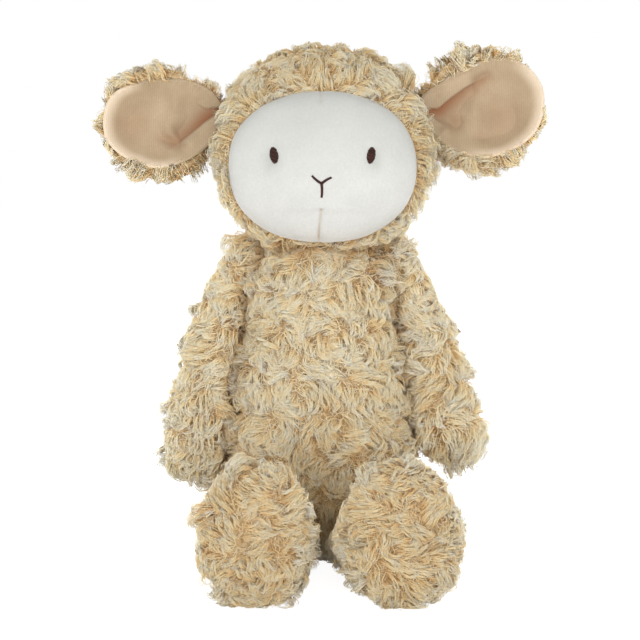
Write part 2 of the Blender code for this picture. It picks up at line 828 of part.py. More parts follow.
def patch_mesh(name, surface, rows, faces):
    shape = bmesh.new()
    corners = [shape.verts.new(on_face(surface, x, z, SEAM_GAP)) for x, z in rows]
    for face in faces:
        shape.faces.new([corners[i] for i in face])
    bmesh.ops.recalc_face_normals(shape, faces=shape.faces)
    shape.normal_update()
    if sum((face.normal.y for face in shape.faces), 0.0) > 0.0:
        bmesh.ops.reverse_faces(shape, faces=shape.faces)
    mesh = bpy.data.meshes.new(name)
    shape.to_mesh(mesh)
    shape.free()
    return mesh


def build_eye(surface, side):
    sign = side_sign(side)
    middle = head_place(0.0, FACE_DROP)
    x, z = middle.x + sign * EYE_SPREAD, middle.z + EYE_RISE
    lean = sign * EYE_TILT
    rows = [(x, z)]
    for size in EYE_RING_SHARES:
        for step in range(EYE_SIDES):
            angle = FULL_TURN * step / EYE_SIDES
            wide = EYE_WIDTH / 2.0 * size * math.cos(angle)
            tall = EYE_HEIGHT / 2.0 * size * math.sin(angle)
            rows.append((
                x + wide * math.cos(lean) + tall * math.sin(lean),
                z - wide * math.sin(lean) + tall * math.cos(lean),
            ))
    faces = []
    for i in range(EYE_SIDES):
        j = (i + 1) % EYE_SIDES
        faces.append((0, 1 + i, 1 + j))
        faces.append((1 + i, 1 + EYE_SIDES + i, 1 + EYE_SIDES + j, 1 + j))
    mesh = patch_mesh(side + "_eye", surface, rows, faces)
    part = add_part(side + "_eye", mesh, embroidery, Z_AXIS * NECK_HEIGHT)
    thicken(part, EMBROIDERY, 1.0)


def build_nose(surface):
    """Two arms and a stem that meet in one point."""
    middle = head_place(0.0, FACE_DROP)
    x, z = middle.x, middle.z - NOSE_DROP
    half = NOSE_THREAD / 2.0
    rise = NOSE_ARM_RISE
    side = NOSE_ARM_SIDE
    rows = [
        (x, z + half), (x + half, z), (x - half, z),
        (x - side, z + rise + half), (x - side - half, z + rise - half),
        (x + side + half, z + rise - half), (x + side, z + rise + half),
        (x - half, z - NOSE_STEM), (x + half, z - NOSE_STEM),
    ]
    faces = [(0, 2, 1), (0, 3, 4, 2), (0, 1, 5, 6), (2, 7, 8, 1)]
    mesh = patch_mesh("nose_and_mouth", surface, rows, faces)
    part = add_part("nose_and_mouth", mesh, embroidery, Z_AXIS * NECK_HEIGHT)
    thicken(part, EMBROIDERY, 1.0)


# Ears


def ear_hinge(head_surface, side):
    """Where an ear's seam meets the head, and its outward and upward directions there."""
    sign = side_sign(side)
    start = Vector((sign * (HEAD_WIDTH + OVERRUN), 0.0, HEAD_CENTRE_HEIGHT + EAR_RISES[side]))
    seat, normal, _, _ = head_surface.ray_cast(start, X_AXIS * -sign)
    along = Vector((-normal.z * sign, 0.0, normal.x * sign)).normalized()
    return seat + normal * (EAR_HINGE_RADIUS + SEAM_GAP), along


def ear_sheet(name, hinge, seam, side, start, length, width, cup, lift):
    """One curved layer of an ear, from the hinge line out to its tip."""
    sign = side_sign(side)
    tilt = EAR_TILTS[side]
    axis = Vector((sign * math.cos(tilt), 0.0, math.sin(tilt)))
    across = Vector((-sign * math.sin(tilt), 0.0, math.cos(tilt)))
    shape = bmesh.new()
    rows = []
    for along, wide, deep in EAR_SHARES:
        turn = min(along / EAR_TWIST_SHARE, 1.0)
        direction = (seam * (1.0 - turn) + across * turn).normalized()
        centre = hinge + axis * (start + (length - start) * along)
        row = []
        for column in range(EAR_COLUMNS + 1):
            share = 2.0 * column / EAR_COLUMNS - 1.0
            bulge = math.sin(share * QUARTER_TURN)
            depth = cup * deep * (1.0 - bulge * bulge)
            rim = cup * deep * EAR_RIM_SHARE
            place = centre + direction * (width / 2.0 * wide * bulge)
            row.append(shape.verts.new(place + Y_AXIS * (depth - rim - lift)))
        rows.append(row)
    for lower, upper in zip(rows, rows[1:]):
        for i in range(EAR_COLUMNS):
            shape.faces.new((lower[i], lower[i + 1], upper[i + 1], upper[i]))
    bmesh.ops.recalc_face_normals(shape, faces=shape.faces)
    shape.normal_update()
    if sum((face.normal.y for face in shape.faces), 0.0) < 0.0:
        bmesh.ops.reverse_faces(shape, faces=shape.faces)
    mesh = bpy.data.meshes.new(name)
    shape.to_mesh(mesh)
    shape.free()
    return mesh


def build_ear(head_surface, side):
    hinge, seam = ear_hinge(head_surface, side)
    lift = EAR_FUR - EAR_HINGE_RADIUS
    back = ear_sheet(
        side + "_ear_back", hinge, seam, side, 0.0, EAR_LENGTH, EAR_WIDTHS[side], EAR_CUP, lift
    )
    part = add_part(side + "_ear_back", back, fur, hinge)
    thicken(part, EAR_FUR, 1.0)
    roll_mesh = ball_mesh(
        side + "_ear_roll",
        hinge,
        seam,
        EAR_HINGE_HALF_LENGTH,
        EAR_HINGE_RADIUS,
        EAR_ROLL_STEPS,
        EAR_ROLL_SIDES,
    )
    combine(part, add_cutter(side + "_ear_roll", roll_mesh), "UNION")
    inner = ear_sheet(
        side + "_ear_lining",
        hinge,
        seam,
        side,
        EAR_LINING_START,
        EAR_LINING_LENGTH,
        EAR_WIDTHS[side] - 2.0 * EAR_FRINGE,
        EAR_CUP,
        lift + VELOUR + 2.0 * SEAM_GAP,
    )
    lining = add_part(side + "_ear_lining", inner, velour_peach, hinge)
    thicken(lining, VELOUR, 1.0)


# Tail


def build_tail(surface):
    start = Vector((0.0, BODY_DEPTH + OVERRUN, TAIL_HEIGHT))
    seat, normal, _, _ = surface.ray_cast(start, -Y_AXIS)
    hinge = seat + normal * (TAIL_ROLL_RADIUS + SEAM_GAP)
    along = Vector((0.0, math.cos(TAIL_ANGLE), -math.sin(TAIL_ANGLE)))
    up = Vector((0.0, math.sin(TAIL_ANGLE), math.cos(TAIL_ANGLE)))
    rings = roll_rings(
        hinge, along, X_AXIS, up, TAIL_ROLL_HALF_LENGTH, TAIL_ROLL_RADIUS, TAIL_SIDES
    )
    for share, wide, thick in TAIL_SHARES:
        centre = hinge + along * (TAIL_LENGTH * share)
        half_width, half_thickness = TAIL_WIDTH / 2.0 * wide, TAIL_THICKNESS / 2.0 * thick
        rings.append(oval_ring(centre, X_AXIS, up, half_width, half_thickness, TAIL_SIDES))
    mesh = lofted_mesh("tail", hinge - along * TAIL_ROLL_RADIUS, rings, hinge + along * TAIL_LENGTH)
    add_part("tail", mesh, fur, hinge)


def surface_of(mesh):
    shape = bmesh.new()
    shape.from_mesh(mesh)
    found = BVHTree.FromBMesh(shape)
    shape.free()
    return found


clear_scene()
parts = new_collection("plush_sheep")
cutters = new_collection("cutters")

fur = make_material("cream_curly_fur", (0.86, 0.78, 0.62), 0.95)
velour_white = make_material("white_velour", (0.90, 0.90, 0.88), 0.90)
velour_peach = make_material("peach_velour", (0.85, 0.71, 0.58), 0.90)
embroidery = make_material("dark_brown_thread", (0.24, 0.12, 0.10), 0.60)
thread = make_material("cream_thread", (0.80, 0.72, 0.56), 0.80)
fibrefill = make_material("polyester_stuffing", (0.93, 0.93, 0.92), 1.00)
lining_cloth = make_material("pellet_bag_cloth", (0.90, 0.89, 0.86), 0.85)

ground = Vector((BODY_WIDTH, BODY_DEPTH + LEG_LENGTH, OVERRUN))
floor_cutter = add_cutter("floor", box_mesh("floor", -ground, Vector((ground.x, ground.y, 0.0))))

whole_body = body_form("body_form", body_skin())
tufted_skin = tufted_mesh("tufted_skin", body_skin(), may_rise_on_body)
body_surface = surface_of(whole_body)
build_body(whole_body, body_form("tufted_body", tufted_skin))
whole_head = head_form()
head_skin = surface_of(whole_head)
build_neck_seam()
build_head(whole_head)
for name in SIDES:
    build_arm(name)
    build_leg(name)
    build_ear(head_skin, name)
    build_eye(head_skin, name)
build_nose(head_skin)
build_tail(body_surface)
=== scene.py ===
"""Looks of the seated plush sheep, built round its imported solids.

Metres, +Z up. The sheep sits on z = 0 and faces -Y, with its own left side at +X.
"""

import math

import bmesh
import bpy
import numpy as np
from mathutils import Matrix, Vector
from mathutils.bvhtree import BVHTree
from mathutils.kdtree import KDTree


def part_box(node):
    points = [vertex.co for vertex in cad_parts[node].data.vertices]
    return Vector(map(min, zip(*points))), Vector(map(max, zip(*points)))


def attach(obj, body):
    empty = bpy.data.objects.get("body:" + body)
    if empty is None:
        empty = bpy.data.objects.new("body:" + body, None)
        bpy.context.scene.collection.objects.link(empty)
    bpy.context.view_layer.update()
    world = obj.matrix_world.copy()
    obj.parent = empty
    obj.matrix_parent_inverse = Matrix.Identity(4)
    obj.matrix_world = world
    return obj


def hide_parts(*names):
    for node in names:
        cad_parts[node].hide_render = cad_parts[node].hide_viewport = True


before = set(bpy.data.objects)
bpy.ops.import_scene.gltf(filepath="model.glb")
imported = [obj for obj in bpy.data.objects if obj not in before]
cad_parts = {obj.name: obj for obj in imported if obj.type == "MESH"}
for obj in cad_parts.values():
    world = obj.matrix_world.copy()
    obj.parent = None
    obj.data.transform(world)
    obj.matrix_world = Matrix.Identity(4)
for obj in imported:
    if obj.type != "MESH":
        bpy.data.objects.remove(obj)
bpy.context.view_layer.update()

# Arrays and noise

NOISE_RANGE = 0x7FFFFFFF


def unit(vectors):
    """Rows scaled to length one."""
    length = np.sqrt((vectors * vectors).sum(-1, keepdims=True))
    return vectors / np.maximum(length, 1e-12)


def along(vectors, normals):
    """The part of each row that lies in the plane of its normal, scaled to length one."""
    return unit(vectors - (vectors * normals).sum(-1, keepdims=True) * normals)


def turned(vectors, normals, angles):
    """Rows that lie across their normals, turned about them."""
    cosine, sine = np.cos(angles)[..., None], np.sin(angles)[..., None]
    return vectors * cosine + np.cross(normals, vectors) * sine


def from_columns(x, y, z):
    """Rows from three columns, each of them an array or one number."""
    return np.stack(np.broadcast_arrays(x, y, z), -1)


def smooth_step(start, end, values):
    """0 up to start, 1 from end on, and a smooth change between them, going up or down."""
    share = np.clip((values - start) / (end - start), 0.0, 1.0)
    return share * share * (3.0 - 2.0 * share)


def peak(*offsets):
    """1 where every offset is 0, falling off over the width that comes with it."""
    return np.exp(-sum((offset / width) ** 2 for offset, width in offsets))


def smooth_noise(points, size, seed):
    """Value noise from -1 to 1 with cells of this size. The large numbers only scramble a cell's place."""
    scaled = points / size + 1000.0
    cell = np.floor(scaled).astype(np.int64)
    part = smooth_step(0.0, 1.0, scaled - cell)
    total = np.zeros(len(scaled))
    for corner in range(8):
        step = np.array([corner & 1, (corner >> 1) & 1, (corner >> 2) & 1])
        x, y, z = (cell + step).T
        mixed = x * 73856093 ^ y * 19349663 ^ z * 83492791 ^ seed * 2654435
        mixed = (mixed * 1103515245 + 12345) & NOISE_RANGE
        mixed = ((mixed >> 7) ^ mixed) * 69069 & NOISE_RANGE
        weight = np.prod(np.where(step == 1, part, 1.0 - part), axis=1)
        total += weight * (mixed / float(NOISE_RANGE >> 1) - 1.0)
    return total


# Mesh objects


def linked(name, data):
    """A new object in the scene."""
    obj = bpy.data.objects.new(name, data)
    bpy.context.scene.collection.objects.link(obj)
    return obj


def mesh_from(name, points, triangles):
    """A smooth mesh from arrays of points and triangles."""
    mesh = bpy.data.meshes.new(name)
    mesh.vertices.add(len(points))
    mesh.vertices.foreach_set("co", np.ascontiguousarray(points, np.float32).ravel())
    mesh.loops.add(len(triangles) * 3)
    mesh.loops.foreach_set("vertex_index", np.ascontiguousarray(triangles, np.int32).ravel())
    mesh.polygons.add(len(triangles))
    mesh.polygons.foreach_set("loop_start", np.arange(len(triangles), dtype=np.int32) * 3)
    mesh.polygons.foreach_set("use_smooth", np.ones(len(triangles), bool))
    mesh.update(calc_edges=True)
    return mesh


def point_values(mesh, name, values):
    """Stores one number for each point, for the materials to read."""
    layer = mesh.attributes.new(name, "FLOAT", "POINT")
    layer.data.foreach_set("value", np.ascontiguousarray(values, np.float32))


def read(items, name, width, kind):
    """One property of all items, as rows."""
    flat = np.empty(len(items) * width, kind)
    items.foreach_get(name, flat)
    return flat.reshape(-1, width)


def points_of(mesh):
    return read(mesh.vertices, "co", 3, np.float32).astype(float)


def normals_of(mesh):
    return read(mesh.vertex_normals, "vector", 3, np.float32).astype(float)


def triangles_of(mesh):
    mesh.calc_loop_triangles()
    return read(mesh.loop_triangles, "vertices", 3, np.int32)


def hull_of(mesh):
    """The surface of a mesh, for rays and nearest places."""
    return BVHTree.FromPolygons(points_of(mesh).tolist(), triangles_of(mesh).tolist())


def tree_of(points):
    """A tree that finds the nearest of these points."""
    tree = KDTree(len(points))
    for row, point in enumerate(points.tolist()):
        tree.insert(point, row)
    tree.balance()
    return tree


def nearest_of(centres, points):
    """For each point, the row of the nearest centre."""
    find = tree_of(centres).find
    return np.fromiter((find(point)[1] for point in points.tolist()), np.int64, len(points))


def set_uv(mesh, uv):
    layer = mesh.uv_layers.new(name="OFBake")
    layer.data.foreach_set("uv", uv.astype(np.float32).ravel())


def cells_for_faces(mesh):
    """A UV map in which each face has a square of its own."""
    count = len(mesh.polygons)
    across = max(1, math.ceil(math.sqrt(count)))
    totals = read(mesh.polygons, "loop_total", 1, np.int32)[:, 0]
    index = np.repeat(np.arange(count), totals)
    corner = np.arange(totals.sum()) - np.repeat(np.cumsum(totals) - totals, totals)
    u = np.where((corner == 1) | (corner == 2), 0.92, 0.08)
    v = np.where(corner >= 2, 0.92, 0.08)
    set_uv(mesh, np.stack([(index % across + u) / across, (index // across + v) / across], 1))


def solid_mesh(name, points, faces):
    """A closed mesh whose faces all look outward."""
    mesh = mesh_from(name, points, np.array(faces))
    build = bmesh.new()
    build.from_mesh(mesh)
    bmesh.ops.recalc_face_normals(build, faces=build.faces)
    build.to_mesh(mesh)
    build.free()
    return mesh


def polar_grid(shares, around):
    """Distance shares and angles of a middle point and of rings of points round it."""
    angles = np.arange(around) * 2.0 * math.pi / around
    out = np.concatenate([[0.0], np.repeat(shares, around)])
    return out, np.concatenate([[0.0], np.tile(angles, len(shares))])


def band(start, around, step):
    """Triangles between a ring of points and the ring that comes this many points later."""
    faces = []
    for k in range(around):
        a, b = start + k, start + (k + 1) % around
        faces += [(a, b, b + step), (a, b + step, a + step)]
    return faces


def disc_faces(count, around):
    """Triangles of a round sheet: a middle point, and rings of points round it."""
    faces = [(0, 1 + (k + 1) % around, 1 + k) for k in range(around)]
    for start in range(1, count - around, around):
        faces += band(start, around, around)
    return faces


def closed_sheet(name, front, back, around):
    """Two like round sheets, joined at their edges."""
    count = len(front)
    faces = disc_faces(count, around)
    faces += [(a + count, c + count, b + count) for a, b, c in faces]
    faces += band(count - around, around, count)
    return solid_mesh(name, np.concatenate([front, back]), faces)


def sheet_values(mesh, name, values):
    """Gives both sides of a closed sheet the same values."""
    point_values(mesh, name, np.clip(np.concatenate([values, values]), 0.0, 1.0))


def sheet_uv(mesh, u, v):
    """The UV map of a closed sheet: its front in the left half, and its back in the right one."""
    loops = read(mesh.loops, "vertex_index", 1, np.int32)[:, 0]
    both = np.stack([np.concatenate([u, u + 0.5]), np.concatenate([v, v])], 1)
    set_uv(mesh, both[loops])


# Skins: the backing of the fur fabric, taken from what fills each cover

VOXEL = 0.0032
SKIN_PUSH = 0.0026
SKIN_FLOOR = 0.0012
SWELL = 0.0005
SEARCH_REACH = 0.06
NEIGHBOURS = [(x, y, z) for x in (-1, 0, 1) for y in (-1, 0, 1) for z in (-1, 0, 1)]


class Skin:
    """A smooth closed surface that fur grows on."""

    def __init__(self, name, nodes, push=SKIN_PUSH, voxel=VOXEL, rounds=10):
        built = bmesh.new()
        for node in nodes:
            built.from_mesh(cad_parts[node].data)
        bmesh.ops.remove_doubles(built, verts=built.verts, dist=1e-5)
        mesh = bpy.data.meshes.new(name)
        built.to_mesh(mesh)
        built.free()
        self.obj = linked(name, mesh)
        swell = self.obj.modifiers.new("swell", "DISPLACE")
        swell.mid_level = 0.0
        swell.strength = SWELL
        remesh = self.obj.modifiers.new("remesh", "REMESH")
        remesh.mode = "VOXEL"
        remesh.voxel_size = voxel
        soften = self.obj.modifiers.new("soften", "SMOOTH")
        soften.factor = 0.5
        soften.iterations = rounds
        depsgraph = bpy.context.evaluated_depsgraph_get()
        smooth = bpy.data.meshes.new_from_object(self.obj.evaluated_get(depsgraph))
        self.obj.modifiers.clear()
        self.obj.data = smooth
        smooth.name = name
        self.push(push)

    def push(self, distance):
        """Moves the surface out, by one distance or a function of the place, and reads it for later."""
        mesh = self.obj.data
        points, normals = points_of(mesh), normals_of(mesh)
        if callable(distance):
            distance = distance(points)[:, None]
        points = points + normals * distance
        points[:, 2] = np.maximum(points[:, 2], SKIN_FLOOR)
        mesh.vertices.foreach_set("co", points.astype(np.float32).ravel())
        mesh.polygons.foreach_set("use_smooth", np.ones(len(mesh.polygons), bool))
        mesh.update()
        self.points, self.normals = points_of(mesh), normals_of(mesh)
        self.tree, self.hull = tree_of(self.points), hull_of(mesh)
        self.triangles = triangles_of(mesh)
        a, b, c = (self.points[self.triangles[:, k]] for k in range(3))
        cross = np.cross(b - a, c - a)
        self.areas = np.sqrt((cross * cross).sum(1)) / 2.0

    def scatter(self, count, random):
        """Random points spread evenly over the surface."""
        chosen = random.choice(len(self.triangles), count, p=self.areas / self.areas.sum())
        first, second = random.random(count), random.random(count)
        flip = first + second > 1.0
        first, second = np.where(flip, 1.0 - first, first), np.where(flip, 1.0 - second, second)
        a, b, c = (self.points[self.triangles[chosen, k]] for k in range(3))
        return a + (b - a) * first[:, None] + (c - a) * second[:, None]

    def drop(self, points):
        """The nearest places on the surface, and the normals there."""
        find = self.tree.find
        index = np.fromiter((find(point)[1] for point in points.tolist()), np.int64, len(points))
        normals = self.normals[index]
        off = ((points - self.points[index]) * normals).sum(1, keepdims=True)
        return points - off * normals, normals

    def gap(self, points):
        """How far each point is from the surface's nearest point."""
        find = self.tree.find
        return np.fromiter((find(point)[2] for point in points.tolist()), float, len(points))

    def holds(self, points, margin):
        """Which points are inside the surface, or nearer to it than this from outside."""
        found = np.zeros(len(points), bool)
        for row, point in enumerate(points.tolist()):
            near, normal, _, distance = self.hull.find_nearest(point, SEARCH_REACH)
            if near is not None:
                found[row] = (Vector(point) - near).dot(normal) < 0.0 or distance < margin
        return found


def spread(points, spacing):
    """Picks points, in their order, so that no two are nearer than this."""
    taken, grid = [], {}
    cells = np.floor(points / spacing).astype(int).tolist()
    for row, (point, (x, y, z)) in enumerate(zip(points.tolist(), cells)):
        near = (other for i, j, k in NEIGHBOURS for other in grid.get((x + i, y + j, z + k), ()))
        if all(sum((p - q) ** 2 for p, q in zip(point, other)) >= spacing * spacing for other in near):
            grid.setdefault((x, y, z), []).append(point)
            taken.append(row)
    return np.array(taken, int)


# Fur: closed three-sided strands of four stretches each

STEPS = 4
STRAND_POINTS = STEPS * 3 + 1
STRAND_RADII = np.array([0.17, 0.20, 0.19, 0.15]) * 0.001
STRANDS_PER_PIECE = 9000
STRANDS_PER_AREA = 1.25e6 * 1.0
PLACES_PER_AREA = 0.9e6
TUFT_SPACING = 0.0080
LOCK_SPACING = 0.0026
ROSETTE_SPACING = 0.0180
TOP_SPACING = 0.013
HILL_WIDTH = 0.0095
SWIRL_WIDTH = 0.0135
LEAN_CELL = 0.018
CURL_CELL = 0.016
RISE_CELL = 0.014
JITTER = 0.00016
WAVE_ACROSS = 0.0008
WAVE_UP = 0.0005
WAVE_TURN = 6.0
LOWEST_RISE = 0.0002
ROOT_DEPTH = 0.0006
FLOOR_GAP = 0.0006
POINT_FLOOR_GAP = 0.0002
SOFT_SHADING = 0.45


class Coat:
    """How the fur of one form grows."""

    def __init__(self, seed, heading, length, height, keep, tops=None, spacing=1.0, loose=0.30, density=1.0):
        self.seed, self.heading, self.length, self.height = seed, heading, length, height
        self.keep, self.tops = keep, tops
        self.spacing, self.loose, self.density = spacing, loose, density


class Strands:
    """Paths of strands, the skin's normals along them, their tones and their roots."""

    def __init__(self, paths, normals, tone, roots):
        self.paths, self.normals, self.tone, self.roots = paths, normals, tone, roots

    def only(self, chosen):
        return Strands(self.paths[chosen], self.normals[chosen], self.tone[chosen], self.roots[chosen])


class Tufts:
    """Tufts over a skin: their places, how high they rise, and the line that each one follows."""

    def __init__(self, skin, places, coat, random):
        places, normals = skin.drop(places)
        self.places, self.normals, count = places, normals, len(places)
        swirls = self.rosettes(coat.tops)
        # Rosettes turn the fur round their middles
        spin = random.choice([-1.0, 1.0], len(swirls)) * random.uniform(0.5, 1.0, len(swirls))
        near = nearest_of(swirls, places)
        away = places - swirls[near]
        distance = np.sqrt((away * away).sum(1))
        hill = peak((distance, HILL_WIDTH)) * random.uniform(0.7, 1.2, len(swirls))[near]
        weight = peak((distance, SWIRL_WIDTH))[:, None]
        radial = along(away + 1e-6, normals)
        round_it = np.cross(normals, radial) * spin[near][:, None]
        base = along(coat.heading(places), normals)
        lean = smooth_noise(places, LEAN_CELL, coat.seed + 5) * 0.9 + random.normal(0.0, 0.30, count)
        base = turned(base, normals, lean)
        swirled = (round_it * 0.7 - radial * 0.3) * weight
        self.facing = along(base * (1.0 - 0.8 * weight) + swirled, normals)
        curl = smooth_noise(places, CURL_CELL, coat.seed + 9) * 1.5 + spin[near] * weight[:, 0] * 1.3
        curl = curl + random.normal(0.0, 0.35, count)
        reach = coat.length(places) * random.uniform(0.82, 1.18, count)
        swell = 0.62 + 0.58 * hill + 0.20 * smooth_noise(places, RISE_CELL, coat.seed + 13)
        self.rise = coat.height(places) * swell * random.uniform(0.86, 1.14, count)
        self.walk(skin, curl, reach)

    def rosettes(self, tops):
        """Middles of the rosettes: the solid's own tufts first, and others away from them."""
        swirls = self.places[spread(self.places, ROSETTE_SPACING)]
        if tops is None:
            return swirls
        apart = swirls - tops[nearest_of(tops, swirls)]
        return np.concatenate([tops, swirls[(apart * apart).sum(1) > TOP_SPACING ** 2]])

    def walk(self, skin, curl, reach):
        """Follows each tuft over the skin as it curls."""
        self.guide = np.zeros((len(self.places), STEPS + 1, 3))
        self.guide[:, 0] = self.places
        here, normal, ahead = self.places, self.normals, self.facing
        for step in range(STEPS):
            ahead = turned(ahead, normal, curl / STEPS * (0.6 + 0.8 * step / STEPS))
            here, normal = skin.drop(here + ahead * (reach / STEPS)[:, None])
            ahead = along(ahead, normal)
            self.guide[:, step + 1] = here


def strands_on(skin, coat):
    """The strands over a skin: tufts hold locks, and locks hold strands."""
    random = np.random.default_rng(coat.seed)
    area = skin.areas.sum()
    pool = skin.scatter(int(area * PLACES_PER_AREA), random)
    tufts = Tufts(skin, pool[spread(pool, TUFT_SPACING * coat.spacing)], coat, random)
    locks, _ = skin.drop(pool[::-1][spread(pool[::-1], LOCK_SPACING)])
    roots, normals = skin.drop(skin.scatter(int(area * STRANDS_PER_AREA * coat.density), random))
    kept = coat.keep(roots, normals)
    roots, normals = roots[kept], normals[kept]
    lock = nearest_of(locks, roots)
    tuft = nearest_of(tufts.places, locks)[lock]
    # What the strands of a lock share
    fan = random.normal(0.0, 0.24, len(locks))[lock]
    lock_length = random.uniform(0.74, 1.16, len(locks))[lock]
    lock_rise = random.uniform(0.72, 1.18, len(locks))[lock]
    phase = random.uniform(0.0, 2.0 * math.pi, len(locks))[lock]
    lock_tone = random.normal(0.0, 1.0, len(locks))[lock]
    tuft_tone = random.normal(0.0, 1.0, len(tufts.places))[tuft]
    # What each strand has of its own
    count = len(roots)
    own_length = random.uniform(0.80, 1.10, count)
    own_rise = random.uniform(0.80, 1.12, count)
    jitter = random.normal(0.0, 1.0, (count, 3)) * JITTER
    loose = random.random(count) < coat.loose
    stray = np.where(loose, random.uniform(-2.4, 2.4, count), random.normal(0.0, 0.07, count))
    own_length = own_length * np.where(loose, 0.68, 1.0)
    own_rise = own_rise * np.where(loose, 0.60, 1.0)
    held = np.where(loose, 0.25, 1.0)[:, None]
    place, tuft_normals = tufts.places[tuft], tufts.normals[tuft]
    inner, outer = roots - locks[lock], locks[lock] - place
    side = np.cross(normals, tufts.facing[tuft])
    paths = np.zeros((count, STEPS + 1, 3))
    lie = np.zeros((count, STEPS + 1, 3))
    for step in range(STEPS + 1):
        share = step / STEPS
        run = turned(tufts.guide[tuft, step] - place, tuft_normals, fan * share + stray)
        run = run * (lock_length * own_length)[:, None]
        close_lock = 0.60 * smooth_step(0.0, 0.9, share)
        close_tuft = 0.22 * smooth_step(0.1, 1.0, share)
        wave = WAVE_ACROSS * share * np.sin(share * WAVE_TURN + phase)
        point = place + run + outer * (1.0 - close_tuft * held) + inner * (1.0 - close_lock * held)
        point, normal = skin.drop(point + side * wave[:, None] + jitter * share)
        up = tufts.rise[tuft] * lock_rise * own_rise * math.sin(2.45 * share)
        up = up + WAVE_UP * share * np.cos(share * WAVE_TURN + phase)
        up = np.maximum(up, LOWEST_RISE) - (ROOT_DEPTH if step == 0 else 0.0)
        paths[:, step] = point + normal * up[:, None]
        lie[:, step] = normal
    paths[:, :, 2] = np.maximum(paths[:, :, 2], FLOOR_GAP)
    tone = 0.55 * lock_tone + 0.35 * tuft_tone + random.normal(0.0, 0.35, count)
    return Strands(paths, lie, tone, roots)


def strand_faces():
    """The triangles of one closed strand, and the places of their corners in its UV cell."""
    faces, spots = [], []
    for ring in range(STEPS):
        low, high = 0.1 + 0.8 * ring / STEPS, 0.1 + 0.8 * (ring + 1) / STEPS
        for side in range(3):
            left, right = side / 3.0, (side + 1) / 3.0
            a, b = ring * 3 + side, ring * 3 + (side + 1) % 3
            if ring < STEPS - 1:
                faces += [(a, b + 3, b), (a, a + 3, b + 3)]
                spots += [(left, low), (right, high), (right, low)]
                spots += [(left, low), (left, high), (right, high)]
            else:
                faces.append((a, STEPS * 3, b))
                spots += [(left, low), ((left + right) / 2.0, high), (right, low)]
    faces.append((0, 1, 2))
    spots += [(0.1, 0.01), (0.9, 0.01), (0.5, 0.07)]
    return np.array(faces), np.array(spots)


FACES, SPOTS = strand_faces()


def per_point(values):
    """Values along each strand, three times for its rings and once for its tip."""
    return np.concatenate([np.repeat(values[:, :STEPS], 3, axis=1), values[:, -1:]], 1)


def strand_mesh(name, strands, ash, crevice_shade, soft):
    """One mesh of closed tapered strands."""
    paths, normals, count = strands.paths, strands.normals, len(strands.paths)
    ahead = unit(np.gradient(paths, axis=1))
    side = unit(np.cross(ahead, normals))
    up = np.cross(side, ahead)
    random = np.random.default_rng(len(name) + count)
    radii = STRAND_RADII[None, :, None] * random.uniform(0.75, 1.2, count)[:, None, None]
    points = per_point(paths)
    for corner in range(3):
        angle = math.pi / 2.0 + corner * 2.0 * math.pi / 3.0
        out = side * math.cos(angle) + up * math.sin(angle)
        points[:, corner : STEPS * 3 : 3] += out[:, :STEPS] * radii
    points[:, :, 2] = np.maximum(points[:, :, 2], POINT_FLOOR_GAP)
    starts = np.arange(count)[:, None, None] * STRAND_POINTS
    mesh = mesh_from(name, points.reshape(-1, 3), (FACES[None] + starts).reshape(-1, 3))
    point_values(mesh, "reach", per_point(np.tile(np.arange(STEPS + 1) / STEPS, (count, 1))).ravel())
    point_values(mesh, "tone", np.repeat(strands.tone, STRAND_POINTS))
    point_values(mesh, "ash", np.repeat(ash, STRAND_POINTS))
    # The painted shade in the crevices beside other forms, for the material to read
    point_values(mesh, "crevice_shade", per_point(crevice_shade).ravel())
    lie = per_point(normals).reshape(-1, 3) * soft + normals_of(mesh) * (1.0 - soft)
    mesh.normals_split_custom_set_from_vertices(unit(lie).tolist())
    columns = max(1, math.ceil(math.sqrt(count * 4.0)))
    rows = math.ceil(count / columns)
    column, row = np.arange(count) % columns, np.arange(count) // columns
    u = (column[:, None] + 0.08 + 0.84 * SPOTS[None, :, 0]) / columns
    v = (row[:, None] + 0.02 + 0.96 * SPOTS[None, :, 1]) / rows
    set_uv(mesh, np.stack([u, v], -1))
    return mesh


# Materials

WHITE = (1.0, 1.0, 1.0)
STRAND_GLOW_DEPTH = 0.0006


